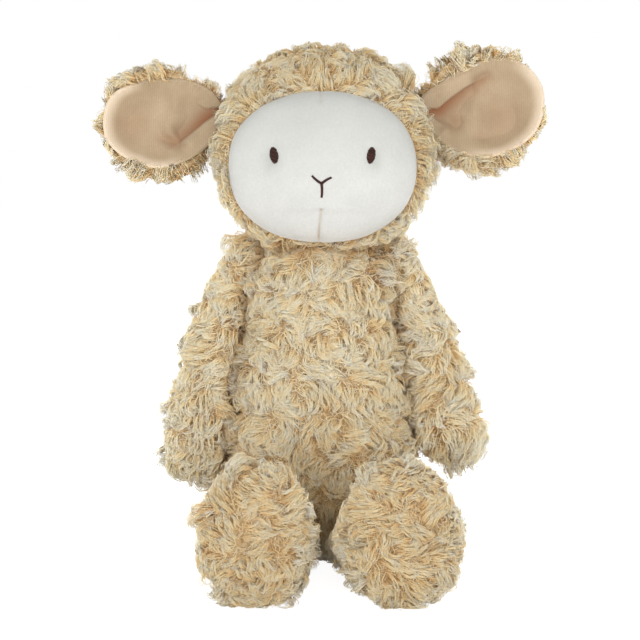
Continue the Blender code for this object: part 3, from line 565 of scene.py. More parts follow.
class Nodes:
    """Short ways to add shader nodes to one material, or to the world."""

    def __init__(self, owner, kind="Material"):
        owner.use_nodes = True
        self.owner, self.tree = owner, owner.node_tree
        self.tree.nodes.clear()
        self.output = self.add("Output" + kind).inputs[0]

    def put(self, given, socket):
        """Feeds a socket with a number, a colour or another node's output."""
        if isinstance(given, (int, float)):
            socket.default_value = given
        elif isinstance(given, tuple):
            socket.default_value = (*given, 1.0)
        elif given is not None:
            self.tree.links.new(given, socket)

    def add(self, kind, inputs=(), **settings):
        node = self.tree.nodes.new("ShaderNode" + kind)
        for key, value in settings.items():
            setattr(node, key, value)
        for socket, given in dict(inputs).items():
            self.put(given, node.inputs[socket])
        return node

    def value(self, name):
        return self.add("Attribute", attribute_name=name).outputs["Fac"]

    def math(self, operation, a, b):
        return self.add("Math", {0: a, 1: b}, operation=operation).outputs[0]

    def total(self, *parts):
        """The sum of values, each times its share."""
        first, *others = (self.math("MULTIPLY", given, share) for given, share in parts)
        for other in others:
            first = self.math("ADD", first, other)
        return first

    def mix(self, amount, a, b, blend="MIX"):
        return self.add("Mix", {0: amount, 6: a, 7: b}, data_type="RGBA", blend_type=blend).outputs[2]

    def tinted(self, color, amount, share, other):
        """A colour moved toward another by a share of an amount."""
        return self.mix(self.math("MULTIPLY", amount, share), color, other)

    def ramp(self, amount, *stops):
        node = self.add("ValToRGB", {0: amount})
        elements = node.color_ramp.elements
        while len(elements) < len(stops):
            elements.new(0.5)
        for element, (position, color) in zip(elements, stops):
            element.position = position
            element.color = (*color, 1.0)
        return node.outputs[0]

    def noise(self, scale, detail=3.0, roughness=0.55):
        spot = self.add("TexCoord").outputs["Object"]
        inputs = {"Vector": spot, "Scale": scale, "Detail": detail, "Roughness": roughness}
        return self.add("TexNoise", inputs).outputs["Fac"]

    def bump(self, height, strength, distance):
        return self.add("Bump", {"Height": height, "Strength": strength, "Distance": distance}).outputs[0]

    def cloth(self, color, normal, roughness, sheen, sheen_roughness=0.5, tint=WHITE, specular=0.2):
        """Ends the material in a matte shader with sheen, and returns that shader."""
        shader = self.add("BsdfPrincipled", {
            "Base Color": color, "Normal": normal, "Roughness": roughness, "Specular IOR Level": specular,
            "Sheen Weight": sheen, "Sheen Roughness": sheen_roughness, "Sheen Tint": tint,
        })
        self.put(shader.outputs[0], self.output)
        return shader

    def by_ray(self, seen, other):
        """Camera, glossy and transmission rays take the first shader, and all others the second."""
        path = self.add("LightPath").outputs
        amount = self.math("MAXIMUM", path["Is Camera Ray"], path["Is Glossy Ray"])
        amount = self.math("MAXIMUM", amount, path["Is Transmission Ray"])
        self.put(self.add("MixShader", {0: amount, 1: other, 2: seen}).outputs[0], self.output)


def material_nodes(name):
    return Nodes(bpy.data.materials.new(name))


def linear(*color):
    """A colour given on the display's 0 to 255 scale, as the shaders take it."""
    shares = [channel / 255.0 for channel in color]
    return tuple(s / 12.92 if s <= 0.04045 else ((s + 0.055) / 1.055) ** 2.4 for s in shares)


def fur_material():
    """Darker at the roots, with painted shade in the crevices beside other forms, a tone for each lock and
    soft patches.
    """
    nodes = material_nodes("curly_fur")
    patches = nodes.math("SUBTRACT", nodes.noise(90.0, 2.0), 0.5)
    reach, tone = nodes.value("reach"), nodes.value("tone")
    amount = nodes.total((reach, 1.0), (tone, 0.12), (patches, 0.36))
    color = nodes.ramp(
        amount,
        (0.00, linear(197, 151, 97)),
        (0.23, linear(238, 197, 141)),
        (0.46, linear(255, 226, 175)),
        (0.70, linear(255, 238, 198)),
        (1.00, linear(255, 247, 223)),
    )
    grey = nodes.mix(0.55, color, linear(206, 189, 168), "MULTIPLY")
    color = nodes.tinted(color, nodes.value("ash"), 0.6, grey)
    # Painted shade: darker brown in the crevices beside other forms, where shadow falls
    crevice_shade_color = nodes.mix(1.0, color, linear(158, 122, 82), "MULTIPLY")
    color = nodes.tinted(color, nodes.value("crevice_shade"), 0.90, crevice_shade_color)
    shader = nodes.cloth(color, None, 0.70, 0.12, tint=linear(255, 236, 200), specular=0.15)
    shader.inputs["Subsurface Weight"].default_value = 0.65
    shader.inputs["Subsurface Radius"].default_value = (1.0, 0.97, 0.92)
    shader.inputs["Subsurface Scale"].default_value = STRAND_GLOW_DEPTH
    return nodes.owner


def undercoat_material():
    nodes = material_nodes("fur_backing")
    fine, coarse = nodes.noise(1400.0, 2.0), nodes.noise(160.0)
    color = nodes.ramp(
        nodes.total((fine, 0.55), (coarse, 0.45)),
        (0.30, linear(168, 140, 100)),
        (0.50, linear(204, 176, 132)),
        (0.70, linear(232, 206, 162)),
    )
    nodes.cloth(color, nodes.bump(fine, 0.8, 0.0008), 0.9, 0.1)
    return nodes.owner


def plain_cloth(name, dark, light, scale, distance):
    """A fibre or cloth material: fine noise in colour and bump."""
    nodes = material_nodes(name)
    fine = nodes.noise(scale, 4.0, 0.7)
    color = nodes.ramp(fine, (0.30, dark), (0.70, light))
    nodes.cloth(color, nodes.bump(fine, 0.6, distance), 0.9, 0.2)
    return nodes.owner


def velour_material():
    """White short pile with painted grey shade by its dimples and over its top; brown along its seams, and a
    faint painted shade in its fold.
    """
    nodes = material_nodes("face_velour")
    pile, fuzz, broad = nodes.noise(2600.0, 3.0, 0.7), nodes.noise(700.0), nodes.noise(38.0, 2.0)
    amount = nodes.total((fuzz, 0.5), (broad, 0.5))
    color = nodes.ramp(amount, (0.30, linear(194, 194, 190)), (0.70, linear(209, 209, 205)))
    # Painted shade: grey by the dimples beside the eyes and over the top of the face
    color = nodes.tinted(color, nodes.value("face_shade"), 0.55, linear(168, 172, 164))
    # Brown of the seam line and the dart, and painted shade along the faint fold
    color = nodes.tinted(color, nodes.value("crease"), 0.8, linear(172, 150, 124))
    nodes.cloth(color, nodes.bump(nodes.total((pile, 0.6), (fuzz, 0.4)), 0.35, 0.0005), 0.85, 0.45, 0.35)
    return nodes.owner


def lining_material():
    """Pink-brown velour with a fine rib, with painted shade in its folds and a painted highlight at the
    outer edge.
    """
    nodes = material_nodes("ear_velour")
    rib = nodes.add("TexWave", {
        "Vector": nodes.add("TexCoord").outputs["Object"],
        "Scale": 285.0, "Distortion": 1.2, "Detail": 2.0, "Detail Scale": 3.0,
    }, wave_type="BANDS", bands_direction="X").outputs["Fac"]
    fine, broad = nodes.noise(1500.0, 3.0, 0.7), nodes.noise(60.0, 2.0)
    color = nodes.ramp(
        nodes.total((rib, 0.12), (fine, 0.48), (broad, 0.4)),
        (0.25, linear(157, 137, 111)),
        (0.50, linear(174, 153, 125)),
        (0.75, linear(191, 172, 146)),
    )
    # Painted highlight at the outer edge, where the rolled rim catches light, and painted shade in the folds
    color = nodes.tinted(color, nodes.value("rim_highlight"), 0.70, linear(240, 222, 198))
    color = nodes.mix(nodes.value("crease"), color, linear(146, 100, 70))
    normal = nodes.bump(nodes.total((rib, 0.35), (fine, 0.6)), 0.4, 0.0003)
    nodes.cloth(color, normal, 0.85, 0.3, 0.4, linear(255, 236, 214))
    return nodes.owner


def thread_material(name, dark, light, sheen):
    nodes = material_nodes(name)
    fibre = nodes.noise(2400.0, 3.0, 0.6)
    amount = nodes.total((fibre, 0.6), (nodes.value("tone"), 0.4))
    color = nodes.ramp(amount, (0.25, dark), (0.80, light))
    nodes.cloth(color, nodes.bump(fibre, 0.5, 0.0002), 0.45, sheen, 0.3)
    return nodes.owner


FUR = fur_material()
BACKING = undercoat_material()
VELOUR = velour_material()
LINING = lining_material()
STITCH = thread_material("dark_stitching", linear(28, 13, 10), linear(82, 42, 34), 0.3)
SEAM_THREAD = thread_material("seam_thread", linear(176, 150, 112), linear(224, 204, 166), 0.1)
FIBRE = plain_cloth("fibre_stuffing", linear(214, 214, 212), linear(246, 246, 244), 420.0, 0.001)
BAG = plain_cloth("pellet_bag_cloth", linear(206, 202, 192), linear(236, 233, 225), 900.0, 0.0003)


def finished(obj, material, body, nodes=()):
    """Gives a piece its material, its body and what it stands for."""
    obj.data.materials.clear()
    obj.data.materials.append(material)
    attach(obj, body)
    if nodes:
        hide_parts(*nodes)


# Places taken from the solids

SIDES = ("right", "left")
LIMBS = ("left_arm", "right_arm", "left_leg", "right_leg")
BACKWARD = Vector((0.0, 1.0, 0.0))
BEFORE_EARS = -0.06
BEFORE_FACE = -0.12


def side_sign(side):
    return 1.0 if side == "left" else -1.0


def middle(node):
    low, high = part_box(node)
    return (low + high) / 2.0


face_low, face_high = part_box("face_panel")
FACE_MARGIN = 0.0006
FACE_X = (face_low.x + face_high.x) / 2.0
FACE_Z = (face_low.z + face_high.z) / 2.0
FACE_A = (face_high.x - face_low.x) / 2.0 + FACE_MARGIN
FACE_B = (face_high.z - face_low.z) / 2.0 + FACE_MARGIN
FACE_BACK = face_high.y
FACE_DEPTH = 0.0230
FACE_GAP = 0.0001
FACE_ROOT_GAP = 0.0004
NECK = np.array([0.0, 0.0, 0.187])
KNOB_RADIUS = 0.0350
KNOB_FOOT = 0.2040
SOCKET_RADIUS = 0.0400
SOLE_INSET = 0.0026
ARM_TOP_X = 0.0488
ARM_TOP_Z = 0.180
ARM_SLANT = 0.27
SHOULDER_PAD = 0.0056


def leg_push(points):
    """At the sole the skin lies inside the solid, so that the pile ends just proud of it."""
    return SKIN_PUSH - (SKIN_PUSH + SOLE_INSET) * smooth_step(-0.1400, -0.1470, points[:, 1])


def head_push(points):
    """Under the velour face the skin stays close to the stuffing."""
    return SKIN_PUSH - (SKIN_PUSH - FACE_GAP) * smooth_step(-0.036, -0.041, points[:, 1])


def arm_outside(points):
    """1 on the side of an arm that faces away from the body, and 0 on its inner side."""
    axis = ARM_TOP_X + (ARM_TOP_Z - points[:, 2]) * ARM_SLANT
    return smooth_step(-0.001, 0.008, np.abs(points[:, 0]) - axis)


def shoulder_top(points):
    """1 on top of the shoulder, beside the neck."""
    return smooth_step(0.174, 0.186, points[:, 2]) * (1.0 - 0.8 * arm_outside(points))


def arm_push(points):
    """The top of the shoulder is padded up to the neck."""
    return SKIN_PUSH + SHOULDER_PAD * shoulder_top(points)


skins = {
    "body": Skin("body_undercoat", ["body_stuffing", "seat_pellet_bag"]),
    "head": Skin("head_undercoat", ["head_stuffing"], head_push),
    "tail": Skin("tail_undercoat", ["tail"], push=-0.0022, voxel=0.0024, rounds=6),
}
for side in SIDES:
    arm, leg, ear = side + "_arm", side + "_leg", side + "_ear"
    skins[arm] = Skin(arm + "_undercoat", [arm + "_stuffing"], arm_push)
    skins[leg] = Skin(leg + "_undercoat", [leg + "_stuffing", side + "_sole"], leg_push)
    skins[ear] = Skin(ear + "_undercoat", [ear + "_back"], push=-0.0012, voxel=0.0020, rounds=5)


# Which way the fur lies on each form, how long it is and how high it stands

STRAND_LENGTH = {"body": 0.0115, "head": 0.0105, "arm": 0.0112, "leg": 0.0105, "ear": 0.0105, "tail": 0.0100}
PILE_HEIGHT = {"body": 0.0076, "head": 0.0072, "arm": 0.0078, "leg": 0.0074, "ear": 0.0085, "tail": 0.0056}
MORE_LENGTH = {"ear_seam": 0.0020, "chin": 0.0040, "shoulder": 0.0010}
MORE_HEIGHT = {
    "body_side": 0.0014, "beside_arm": 0.0032, "body_shoulder": 0.0058, "ear_seam": 0.0030, "crown": -0.0014,
    "arm_top": 0.0010, "paw": 0.0014, "arm_inside": 0.0016, "arm_slope": -0.0042,
}
PROUD = 0.0035
PROUD_SPACING = 0.012


def even(values, form):
    """The same length or height everywhere on a form."""
    return lambda points: np.full(len(points), values[form])


def tuft_tops(form):
    """The places on a skin under the points of its cover that stand highest."""
    points = points_of(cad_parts[form + "_cover"].data)
    places, normals = skins[form].drop(points)
    places = places[((points - places) * normals).sum(1) > PROUD]
    return places[spread(places, PROUD_SPACING)]


def body_heading(points):
    return from_columns(points[:, 0] * 8.0, 0.0, -1.0)


def body_height(points):
    """Fuller at the sides, where the arms press beside it, and on the shoulders, and low at the neck."""
    beside, z = np.abs(points[:, 0]), points[:, 2]
    height = PILE_HEIGHT["body"] + MORE_HEIGHT["body_side"] * smooth_step(0.036, 0.050, beside)
    height += MORE_HEIGHT["beside_arm"] * smooth_step(0.036, 0.046, beside) * smooth_step(0.145, 0.120, z)
    height += MORE_HEIGHT["body_shoulder"] * smooth_step(0.158, 0.176, z) * smooth_step(0.018, 0.034, beside)
    near_neck = smooth_step(0.042, 0.036, np.hypot(points[:, 0], points[:, 1]))
    return height * (1.0 - 0.5 * near_neck * smooth_step(0.184, 0.192, z))


def head_heading(points):
    """Backward from the face, and down over the neck."""
    return from_columns(points[:, 0] * 6.0, 1.0, -0.25 - 1.6 * smooth_step(0.225, 0.200, points[:, 2]))


def near_ears(points):
    """1 where an ear joins the head, and 0 away from there."""
    beside, z = np.abs(points[:, 0]), points[:, 2]
    under = peak((beside - 0.060, 0.012), (z - 0.246, 0.018))
    return under + 1.1 * peak((beside - 0.053, 0.009), (z - 0.286, 0.010))


def head_length(points):
    """Longer round the ears' seams and at the chin, where it hangs over the neck."""
    chin = MORE_LENGTH["chin"] * smooth_step(0.216, 0.200, points[:, 2])
    return STRAND_LENGTH["head"] + MORE_LENGTH["ear_seam"] * near_ears(points) + chin


def head_height(points):
    """Higher round the ears' seams, and low on top of the head."""
    crown = MORE_HEIGHT["crown"] * smooth_step(0.280, 0.298, points[:, 2])
    return PILE_HEIGHT["head"] + MORE_HEIGHT["ear_seam"] * near_ears(points) + crown


def arm_length(points):
    return STRAND_LENGTH["arm"] + MORE_LENGTH["shoulder"] * shoulder_top(points)


def arm_height(points):
    """High where the arm meets neck and body, low outside the shoulder, a little fuller at the paw."""
    z, outside = points[:, 2], arm_outside(points)
    height = PILE_HEIGHT["arm"] + MORE_HEIGHT["arm_top"] * shoulder_top(points)
    height += MORE_HEIGHT["paw"] * smooth_step(0.095, 0.075, z)
    height += MORE_HEIGHT["arm_inside"] * (1.0 - outside) * smooth_step(0.150, 0.130, z)
    slope = smooth_step(0.150, 0.164, z) * (1.0 - smooth_step(0.188, 0.195, z))
    return height + MORE_HEIGHT["arm_slope"] * slope * outside


def arm_heading(points):
    """Down the arm, and toward the neck on top of the shoulder."""
    down = from_columns(points[:, 0] * 3.0, -0.15, -1.0)
    inward = from_columns(-np.sign(points[:, 0]) * 0.7, -0.5, 0.5)
    top = shoulder_top(points)[:, None]
    return down * (1.0 - top) + inward * top


def leg_heading_for(side):
    """Forward along the leg, and round the middle of the sole on its front."""
    centre = np.array(middle(side + "_sole"))

    def leg_heading(points):
        off = points - centre
        round_it = from_columns(-off[:, 2], 0.0, off[:, 0]) * 40.0 * side_sign(side)
        outward = from_columns(off[:, 0], 0.0, off[:, 2]) * 25.0
        front = smooth_step(-0.138, -0.148, points[:, 1])[:, None]
        return np.array([0.0, -1.0, 0.15]) * (1.0 - front) + (round_it + outward + 1e-4) * front

    return leg_heading


def ear_heading_for(side):
    """Outward and back from a place near the ear's base."""
    centre = np.array(middle(side + "_ear_back"))
    centre[0] -= side_sign(side) * 0.018

    def ear_heading(points):
        off = points - centre
        off[:, 1] = off[:, 1] * 0.3 + 0.012
        return off

    return ear_heading


def tail_heading(points):
    return np.array([0.0, 1.0, -1.0])


# Where the fur has its roots

ROOT_GAPS = {"body": 0.0004, "limb": 0.0004, "head": 0.0003, "ear": 0.0002, "tail": 0.0002}
ROOT_FLOORS = {"body": 0.0035, "limb": 0.0030}


def clear_of(points, others, margin):
    """Which points lie outside these other forms."""
    kept = np.ones(len(points), bool)
    for other in others:
        kept &= ~skins[other].holds(points, margin)
    return kept


def from_neck(points):
    off = points - NECK
    return np.sqrt((off * off).sum(1))


def keep_body(points, normals):
    kept = (from_neck(points) > KNOB_RADIUS) | (points[:, 2] < KNOB_FOOT)
    kept &= points[:, 2] > ROOT_FLOORS["body"]
    return kept & clear_of(points, [*LIMBS, "tail", "head"], ROOT_GAPS["body"])


def keep_head(points, normals):
    kept = (from_neck(points) > SOCKET_RADIUS) & (points[:, 1] > FACE_BACK + FACE_ROOT_GAP)
    return kept & clear_of(points, ["body", "left_ear", "right_ear"], ROOT_GAPS["head"])


def keep_limb(points, normals):
    return (points[:, 2] > ROOT_FLOORS["limb"]) & clear_of(points, ["body"], ROOT_GAPS["limb"])


def keep_tail(points, normals):
    return clear_of(points, ["body"], ROOT_GAPS["tail"])


# Ear linings, by places in X and Z: a middle, the outline, the lip of the fold at the base and the
# crease that goes on from it, the far edge of the hollow under the lip, and soft swells and dips,
# each with its place, its sizes across and up, and how far forward it goes

EAR_LININGS = {
    "right": {
        "middle": (-0.0955, 0.2672),
        "outline": (
            (-0.0588, 0.2763), (-0.0650, 0.2862), (-0.0754, 0.2917), (-0.0895, 0.2936),
            (-0.1097, 0.2911), (-0.1238, 0.2862), (-0.1290, 0.2794), (-0.1314, 0.2683),
            (-0.1300, 0.2578), (-0.1238, 0.2504), (-0.1110, 0.2436), (-0.0962, 0.2399),
            (-0.0852, 0.2430), (-0.0754, 0.2479), (-0.0619, 0.2621),
        ),
        "lip": ((-0.0560, 0.2775), (-0.0700, 0.2680), (-0.0790, 0.2605), (-0.0868, 0.2545)),
        "crease": ((-0.0868, 0.2545), (-0.0950, 0.2575), (-0.1040, 0.2640)),
        "far_edge": ((-0.0560, 0.2768), (-0.0700, 0.2757), (-0.0745, 0.2790), (-0.0752, 0.2830)),
        "swells": (
            ((-0.0875, 0.2790), (0.0050, 0.0120), 0.0022), ((-0.0925, 0.2650), (0.0050, 0.0090), 0.0020),
            ((-0.1150, 0.2660), (0.0085, 0.0090), -0.0020), ((-0.0760, 0.2560), (0.0090, 0.0050), 0.0012),
        ),
    },
    "left": {
        "middle": (0.1000, 0.2740),
        "outline": (
            (0.0564, 0.2769), (0.0727, 0.2911), (0.0877, 0.3003), (0.0981, 0.3050),
            (0.1116, 0.3067), (0.1254, 0.3015), (0.1343, 0.2898), (0.1355, 0.2757),
            (0.1306, 0.2621), (0.1220, 0.2541), (0.1085, 0.2479), (0.0944, 0.2467),
            (0.0834, 0.2498), (0.0705, 0.2584), (0.0631, 0.2670), (0.0613, 0.2747),
        ),
        "lip": ((0.0560, 0.2742), (0.0721, 0.2762), (0.0801, 0.2828), (0.0881, 0.2885), (0.0961, 0.2929)),
        "crease": ((0.0961, 0.2929), (0.1010, 0.2955), (0.1060, 0.2975)),
        "far_edge": (
            (0.0560, 0.2742), (0.0640, 0.2736), (0.0715, 0.2688), (0.0788, 0.2648), (0.0840, 0.2630),
        ),
        "swells": (
            ((0.0765, 0.2630), (0.0035, 0.0030), 0.0024), ((0.0940, 0.2740), (0.0050, 0.0130), 0.0018),
            ((0.1110, 0.2690), (0.0100, 0.0120), -0.0022), ((0.0985, 0.2585), (0.0060, 0.0032), -0.0016),
            ((0.0822, 0.2680), (0.0042, 0.0050), -0.0034),
        ),
    },
}
LINING_RINGS = 80
LINING_AROUND = 240
LINING_ANGLES = np.arange(LINING_AROUND) * 2.0 * math.pi / LINING_AROUND
LINING_THICKNESS = 0.0011
LINING_GAP = 0.0012
CUP_START = 0.0040
CUP_DEPTH = 0.0120
EDGE_ROLL = 0.0016
HOLLOW_DEPTH = 0.0050
LIP_HEIGHT = 0.0038
LIP_WIDTH = 0.0030
VALLEY_DEPTH = 0.0026
GATHER_DEPTH = 0.0005
SWELL_SHARE = 1.4
DIP_SHADE = 110.0


def round_outline(points, middle_point, angles):
    """The outline's distance from the middle at each angle, smoothed."""
    off = np.array(points) - np.array(middle_point)
    at, out = np.arctan2(off[:, 1], off[:, 0]), np.hypot(off[:, 0], off[:, 1])
    order = np.argsort(at)
    at = np.concatenate([at[order] + turn * 2.0 * math.pi for turn in (-1.0, 0.0, 1.0)])
    fine = np.interp(angles, at, np.tile(out[order], 3))
    for _ in range(2):
        fine = 0.5 * fine + 0.25 * (np.roll(fine, 1) + np.roll(fine, -1))
    return fine


def beside_line(x, z, line):
    """Distance from a polyline, more than 0 on its left, and how far along it."""
    line = np.array(line)
    lengths = np.hypot(*(line[1:] - line[:-1]).T)
    best = np.full(x.shape, np.inf)
    signed, run = np.zeros(x.shape), np.zeros(x.shape)
    before = 0.0
    for (ax, az), (bx, bz), length in zip(line[:-1], line[1:], lengths):
        tx, tz = (bx - ax) / length, (bz - az) / length
        share = np.clip((x - ax) * tx + (z - az) * tz, 0.0, length)
        dx, dz = x - ax - tx * share, z - az - tz * share
        distance = np.hypot(dx, dz)
        nearer = distance < best
        best = np.where(nearer, distance, best)
        signed = np.where(nearer, np.where(tx * dz - tz * dx > 0, distance, -distance), signed)
        run = np.where(nearer, (before + share) / lengths.sum(), run)
        before += length
    return signed, run


def lining_shape(facts, x, z, rho):
    """How deep the lining lies, and how much shade is painted in its folds and dips."""
    lip, along_lip = beside_line(x, z, facts["lip"])
    far, along_far = beside_line(x, z, facts["far_edge"])
    crease, along_crease = beside_line(x, z, facts["crease"])
    depth = CUP_START - CUP_DEPTH * rho ** 2.2 + EDGE_ROLL * smooth_step(0.95, 1.0, rho)
    # The lip is a rolled band that stands forward, with a sharp step down behind it
    under = np.minimum(lip, 0.0)
    beyond = smooth_step(-0.0004, 0.0006, -far) * (1.0 - smooth_step(0.75, 1.0, along_far))
    fade = 1.0 - smooth_step(0.82, 1.0, along_lip)
    roll = smooth_step(-0.0002, 0.0006, lip) * peak((np.maximum(lip - LIP_WIDTH, 0.0), 0.0045))
    hollow = smooth_step(0.0006, -0.0002, lip) * peak((under, 0.0080)) * (1.0 - beyond)
    depth += (HOLLOW_DEPTH * hollow - LIP_HEIGHT * roll) * fade
    valley = peak((crease, 0.0032)) * (1.0 - smooth_step(0.3, 1.0, along_crease))
    depth += VALLEY_DEPTH * valley
    shade = smooth_step(0.0004, -0.0002, lip) * peak((under, 0.0062)) * (1.0 - beyond)
    shade *= 1.0 - 0.45 * smooth_step(0.30, 1.0, along_lip)
    shade *= 1.0 - 0.5 * smooth_step(0.9, 1.0, along_lip)
    shade += 0.30 * valley
    for (spot_x, spot_z), (across, up), forward in facts["swells"]:
        swell = peak((x - spot_x, across), (z - spot_z, up))
        depth -= SWELL_SHARE * forward * swell
        shade += DIP_SHADE * max(-forward, 0.0) * swell
    return depth, shade


def ear_lining(side):
    """A cupped sheet of velour with a fold that starts at the ear's base."""
    facts = EAR_LININGS[side]
    edge = round_outline(facts["outline"], facts["middle"], LINING_ANGLES)
    rho, turn = polar_grid((np.arange(1, LINING_RINGS + 1) / LINING_RINGS) ** 0.85, LINING_AROUND)
    out = rho * np.concatenate([[0.0], np.tile(edge, LINING_RINGS)])
    x = facts["middle"][0] + out * np.cos(turn)
    z = facts["middle"][1] + out * np.sin(turn)
    depth, shade = lining_shape(facts, x, z, rho)
    # Gathers along the upper edge, where the pile side is eased in
    gathered = smooth_step(0.84, 0.97, rho) * smooth_step(0.35, 0.75, np.sin(turn))
    depth += GATHER_DEPTH * gathered * np.sin(turn * 46.0 + 2.0 * np.sin(turn * 9.0))
    ear = skins[side + "_ear"].hull
    for row in range(len(x)):
        hit = ear.ray_cast(Vector((x[row], BEFORE_EARS, z[row])), BACKWARD)[0]
        if hit is not None:
            depth[row] = min(depth[row], hit.y - LINING_GAP)
    sheet = depth[1:].reshape(LINING_RINGS, LINING_AROUND)
    beside = np.roll(sheet, 1, 1)[1:-1] + np.roll(sheet, -1, 1)[1:-1]
    sheet[1:-1] = 0.6 * sheet[1:-1] + 0.1 * (sheet[2:] + sheet[:-2] + beside)
    depth[0] = sheet[0].mean()
    front = np.stack([x, depth, z], 1)
    back = front + np.array([0.0, LINING_THICKNESS, 0.0])
    name = side + "_ear_lining_velour"
    mesh = closed_sheet(name, front, back, LINING_AROUND)
    outward = np.cos(turn) * side_sign(side) - 0.5 * np.sin(turn)
    # Painted shade in the folds, and a painted highlight along the outer and lower edge
    sheet_values(mesh, "crease", shade)
    sheet_values(mesh, "rim_highlight", smooth_step(0.76, 0.96, rho) * smooth_step(-0.1, 0.5, outward))
    size = max(np.ptp(x), np.ptp(z)) * 1.04
    sheet_uv(mesh, (x - x.min()) / size * 0.5 + 0.004, (z - z.min()) / size * 0.5 + 0.004)
    finished(linked(name, mesh), LINING, side + "_ear", [side + "_ear_lining"])
    return edge, front


linings = {side: ear_lining(side) for side in SIDES}
CURL_OVER = 0.0022
BEHIND_GAP = 0.0016
ROOT_INSET = 0.0050


def within_lining(side, points, margin):
    """Which points lie within the lining's outline by this margin, seen from the front."""
    dx, dz = points[:, 0] - EAR_LININGS[side]["middle"][0], points[:, 2] - EAR_LININGS[side]["middle"][1]
    around = np.mod(np.arctan2(dz, dx), 2.0 * math.pi)
    limit = np.interp(around, LINING_ANGLES, linings[side][0], period=2.0 * math.pi)
    return np.hypot(dx, dz) < limit - margin


def behind_lining_of(side):
    """Drops the strands that come through the lining, and keeps those that curl over its edge."""

    def change(strands):
        front = linings[side][1]
        find = tree_of(front * (1.0, 0.0, 1.0)).find
        flat = strands.paths.reshape(-1, 3)
        through = np.zeros(len(flat), bool)
        for row in np.flatnonzero(within_lining(side, flat, CURL_OVER)):
            near = find((flat[row, 0], 0.0, flat[row, 2]))[1]
            through[row] = flat[row, 1] < front[near, 1] + BEHIND_GAP
        return strands.only(~through.reshape(len(strands.paths), -1).any(1))

    return change


def keep_ear_for(side):
    """No roots where the lining lies in front, nor inside the head."""

    def keep(points, normals):
        covered = within_lining(side, points, ROOT_INSET) & (normals[:, 1] < -0.15)
        return ~covered & clear_of(points, ["head"], ROOT_GAPS["ear"])

    return keep


# Growing the fur, and the pieces it is kept in

# How far the painted shade in the crevices reaches from the other forms
CREVICE_SHADE_SEARCH = 0.022
CREVICE_SHADE_REACH = 0.0095
FACE_OVERLAP = 0.0012
SOLE_FRONT = -0.143


def painted_crevice_shade(paths, others):
    """Painted shade in the crevices: for each point of the strands, 1 against another form and 0 well away
    from it.
    """
    close = np.zeros(paths.shape[:2])
    for other in others:
        rows = np.flatnonzero(skins[other].gap(paths[:, 0]) < CREVICE_SHADE_SEARCH)
        gap = skins[other].gap(paths[rows].reshape(-1, 3))
        close[rows] = np.maximum(close[rows], peak((gap, CREVICE_SHADE_REACH)).reshape(len(rows), -1))
    return close


def grow(form, coat, beside, change=None, group=None, ash=None, soft=SOFT_SHADING):
    """Grows the fur of one form and splits it into pieces, by group and by size."""
    strands = strands_on(skins[form], coat)
    if change:
        strands = change(strands)
    roots = strands.roots
    shade = ash(roots) if ash else np.zeros(len(roots))
    groups = group(roots) if group else np.zeros(len(roots), bool)
    # Painted shade for the strands in the crevices beside the other forms
    crevice_shade = painted_crevice_shade(strands.paths, beside)
    number = 0
    for flag in np.unique(groups):
        rows = np.flatnonzero(groups == flag)
        order = rows[np.argsort(roots[rows, 2])]
        for chunk in np.array_split(order, math.ceil(len(rows) / STRANDS_PER_PIECE)):
            number += 1
            piece = f"{form}_fur_{number}"
            mesh = strand_mesh(piece, strands.only(chunk), shade[chunk], crevice_shade[chunk], soft)
            finished(linked(piece, mesh), FUR, form)


def off_the_face(strands):
    """Leaves out the strands that lie far over the velour."""
    across = (strands.paths[:, :, 0] - FACE_X) / (FACE_A - FACE_OVERLAP)
    upward = (strands.paths[:, :, 2] - FACE_Z) / (FACE_B - FACE_OVERLAP)
    clear = (across ** 2 + upward ** 2 > 1.0) | (strands.paths[:, :, 1] > FACE_BACK)
    return strands.only(clear.all(axis=1))


def painted_paw_light(strands):
    """Painted light: the lower end of an arm gets a paler tone, standing in for light that the floor throws
    up onto it.
    """
    strands.tone = strands.tone + 0.4 * smooth_step(0.115, 0.080, strands.roots[:, 2])
    return strands


def at_back(points):
    return points[:, 1] > 0.0


def at_sole(points):
    return points[:, 1] < SOLE_FRONT


def body_ash(points):
    return 0.85 * smooth_step(0.115, 0.060, points[:, 2])


def sole_ash(points):
    return 1.55 * smooth_step(-0.135, -0.146, points[:, 1])


def head_ash(points):
    return 0.50 + 0.55 * smooth_step(0.285, 0.303, points[:, 2])


body_coat = Coat(11, body_heading, even(STRAND_LENGTH, "body"), body_height, keep_body, tuft_tops("body"))
head_coat = Coat(23, head_heading, head_length, head_height, keep_head, tuft_tops("head"))
tail_coat = Coat(31, tail_heading, even(STRAND_LENGTH, "tail"), even(PILE_HEIGHT, "tail"), keep_tail)
grow("body", body_coat, [*LIMBS, "head"], group=at_back, ash=body_ash)
grow("head", head_coat, ["body", "left_ear", "right_ear"], off_the_face, at_back, head_ash)
grow("tail", tail_coat, ["body"])
for number, side in enumerate(SIDES):
    arm_coat = Coat(41 + number, arm_heading, arm_length, arm_height, keep_limb)
    leg_lengths, leg_heights = even(STRAND_LENGTH, "leg"), even(PILE_HEIGHT, "leg")
    leg_coat = Coat(51 + number, leg_heading_for(side), leg_lengths, leg_heights, keep_limb)
    ear_lengths, ear_heights = even(STRAND_LENGTH, "ear"), even(PILE_HEIGHT, "ear")
    ear_coat = Coat(61 + number, ear_heading_for(side), ear_lengths, ear_heights, keep_ear_for(side),
                    spacing=0.8, loose=0.14, density=1.35)
    grow(side + "_arm", arm_coat, ["body"], painted_paw_light)
    grow(side + "_leg", leg_coat, ["body"], group=at_sole, ash=sole_ash)
    grow(side + "_ear", ear_coat, ["head"], behind_lining_of(side), soft=0.25)


# Backings, which stand for the covers, and fillings


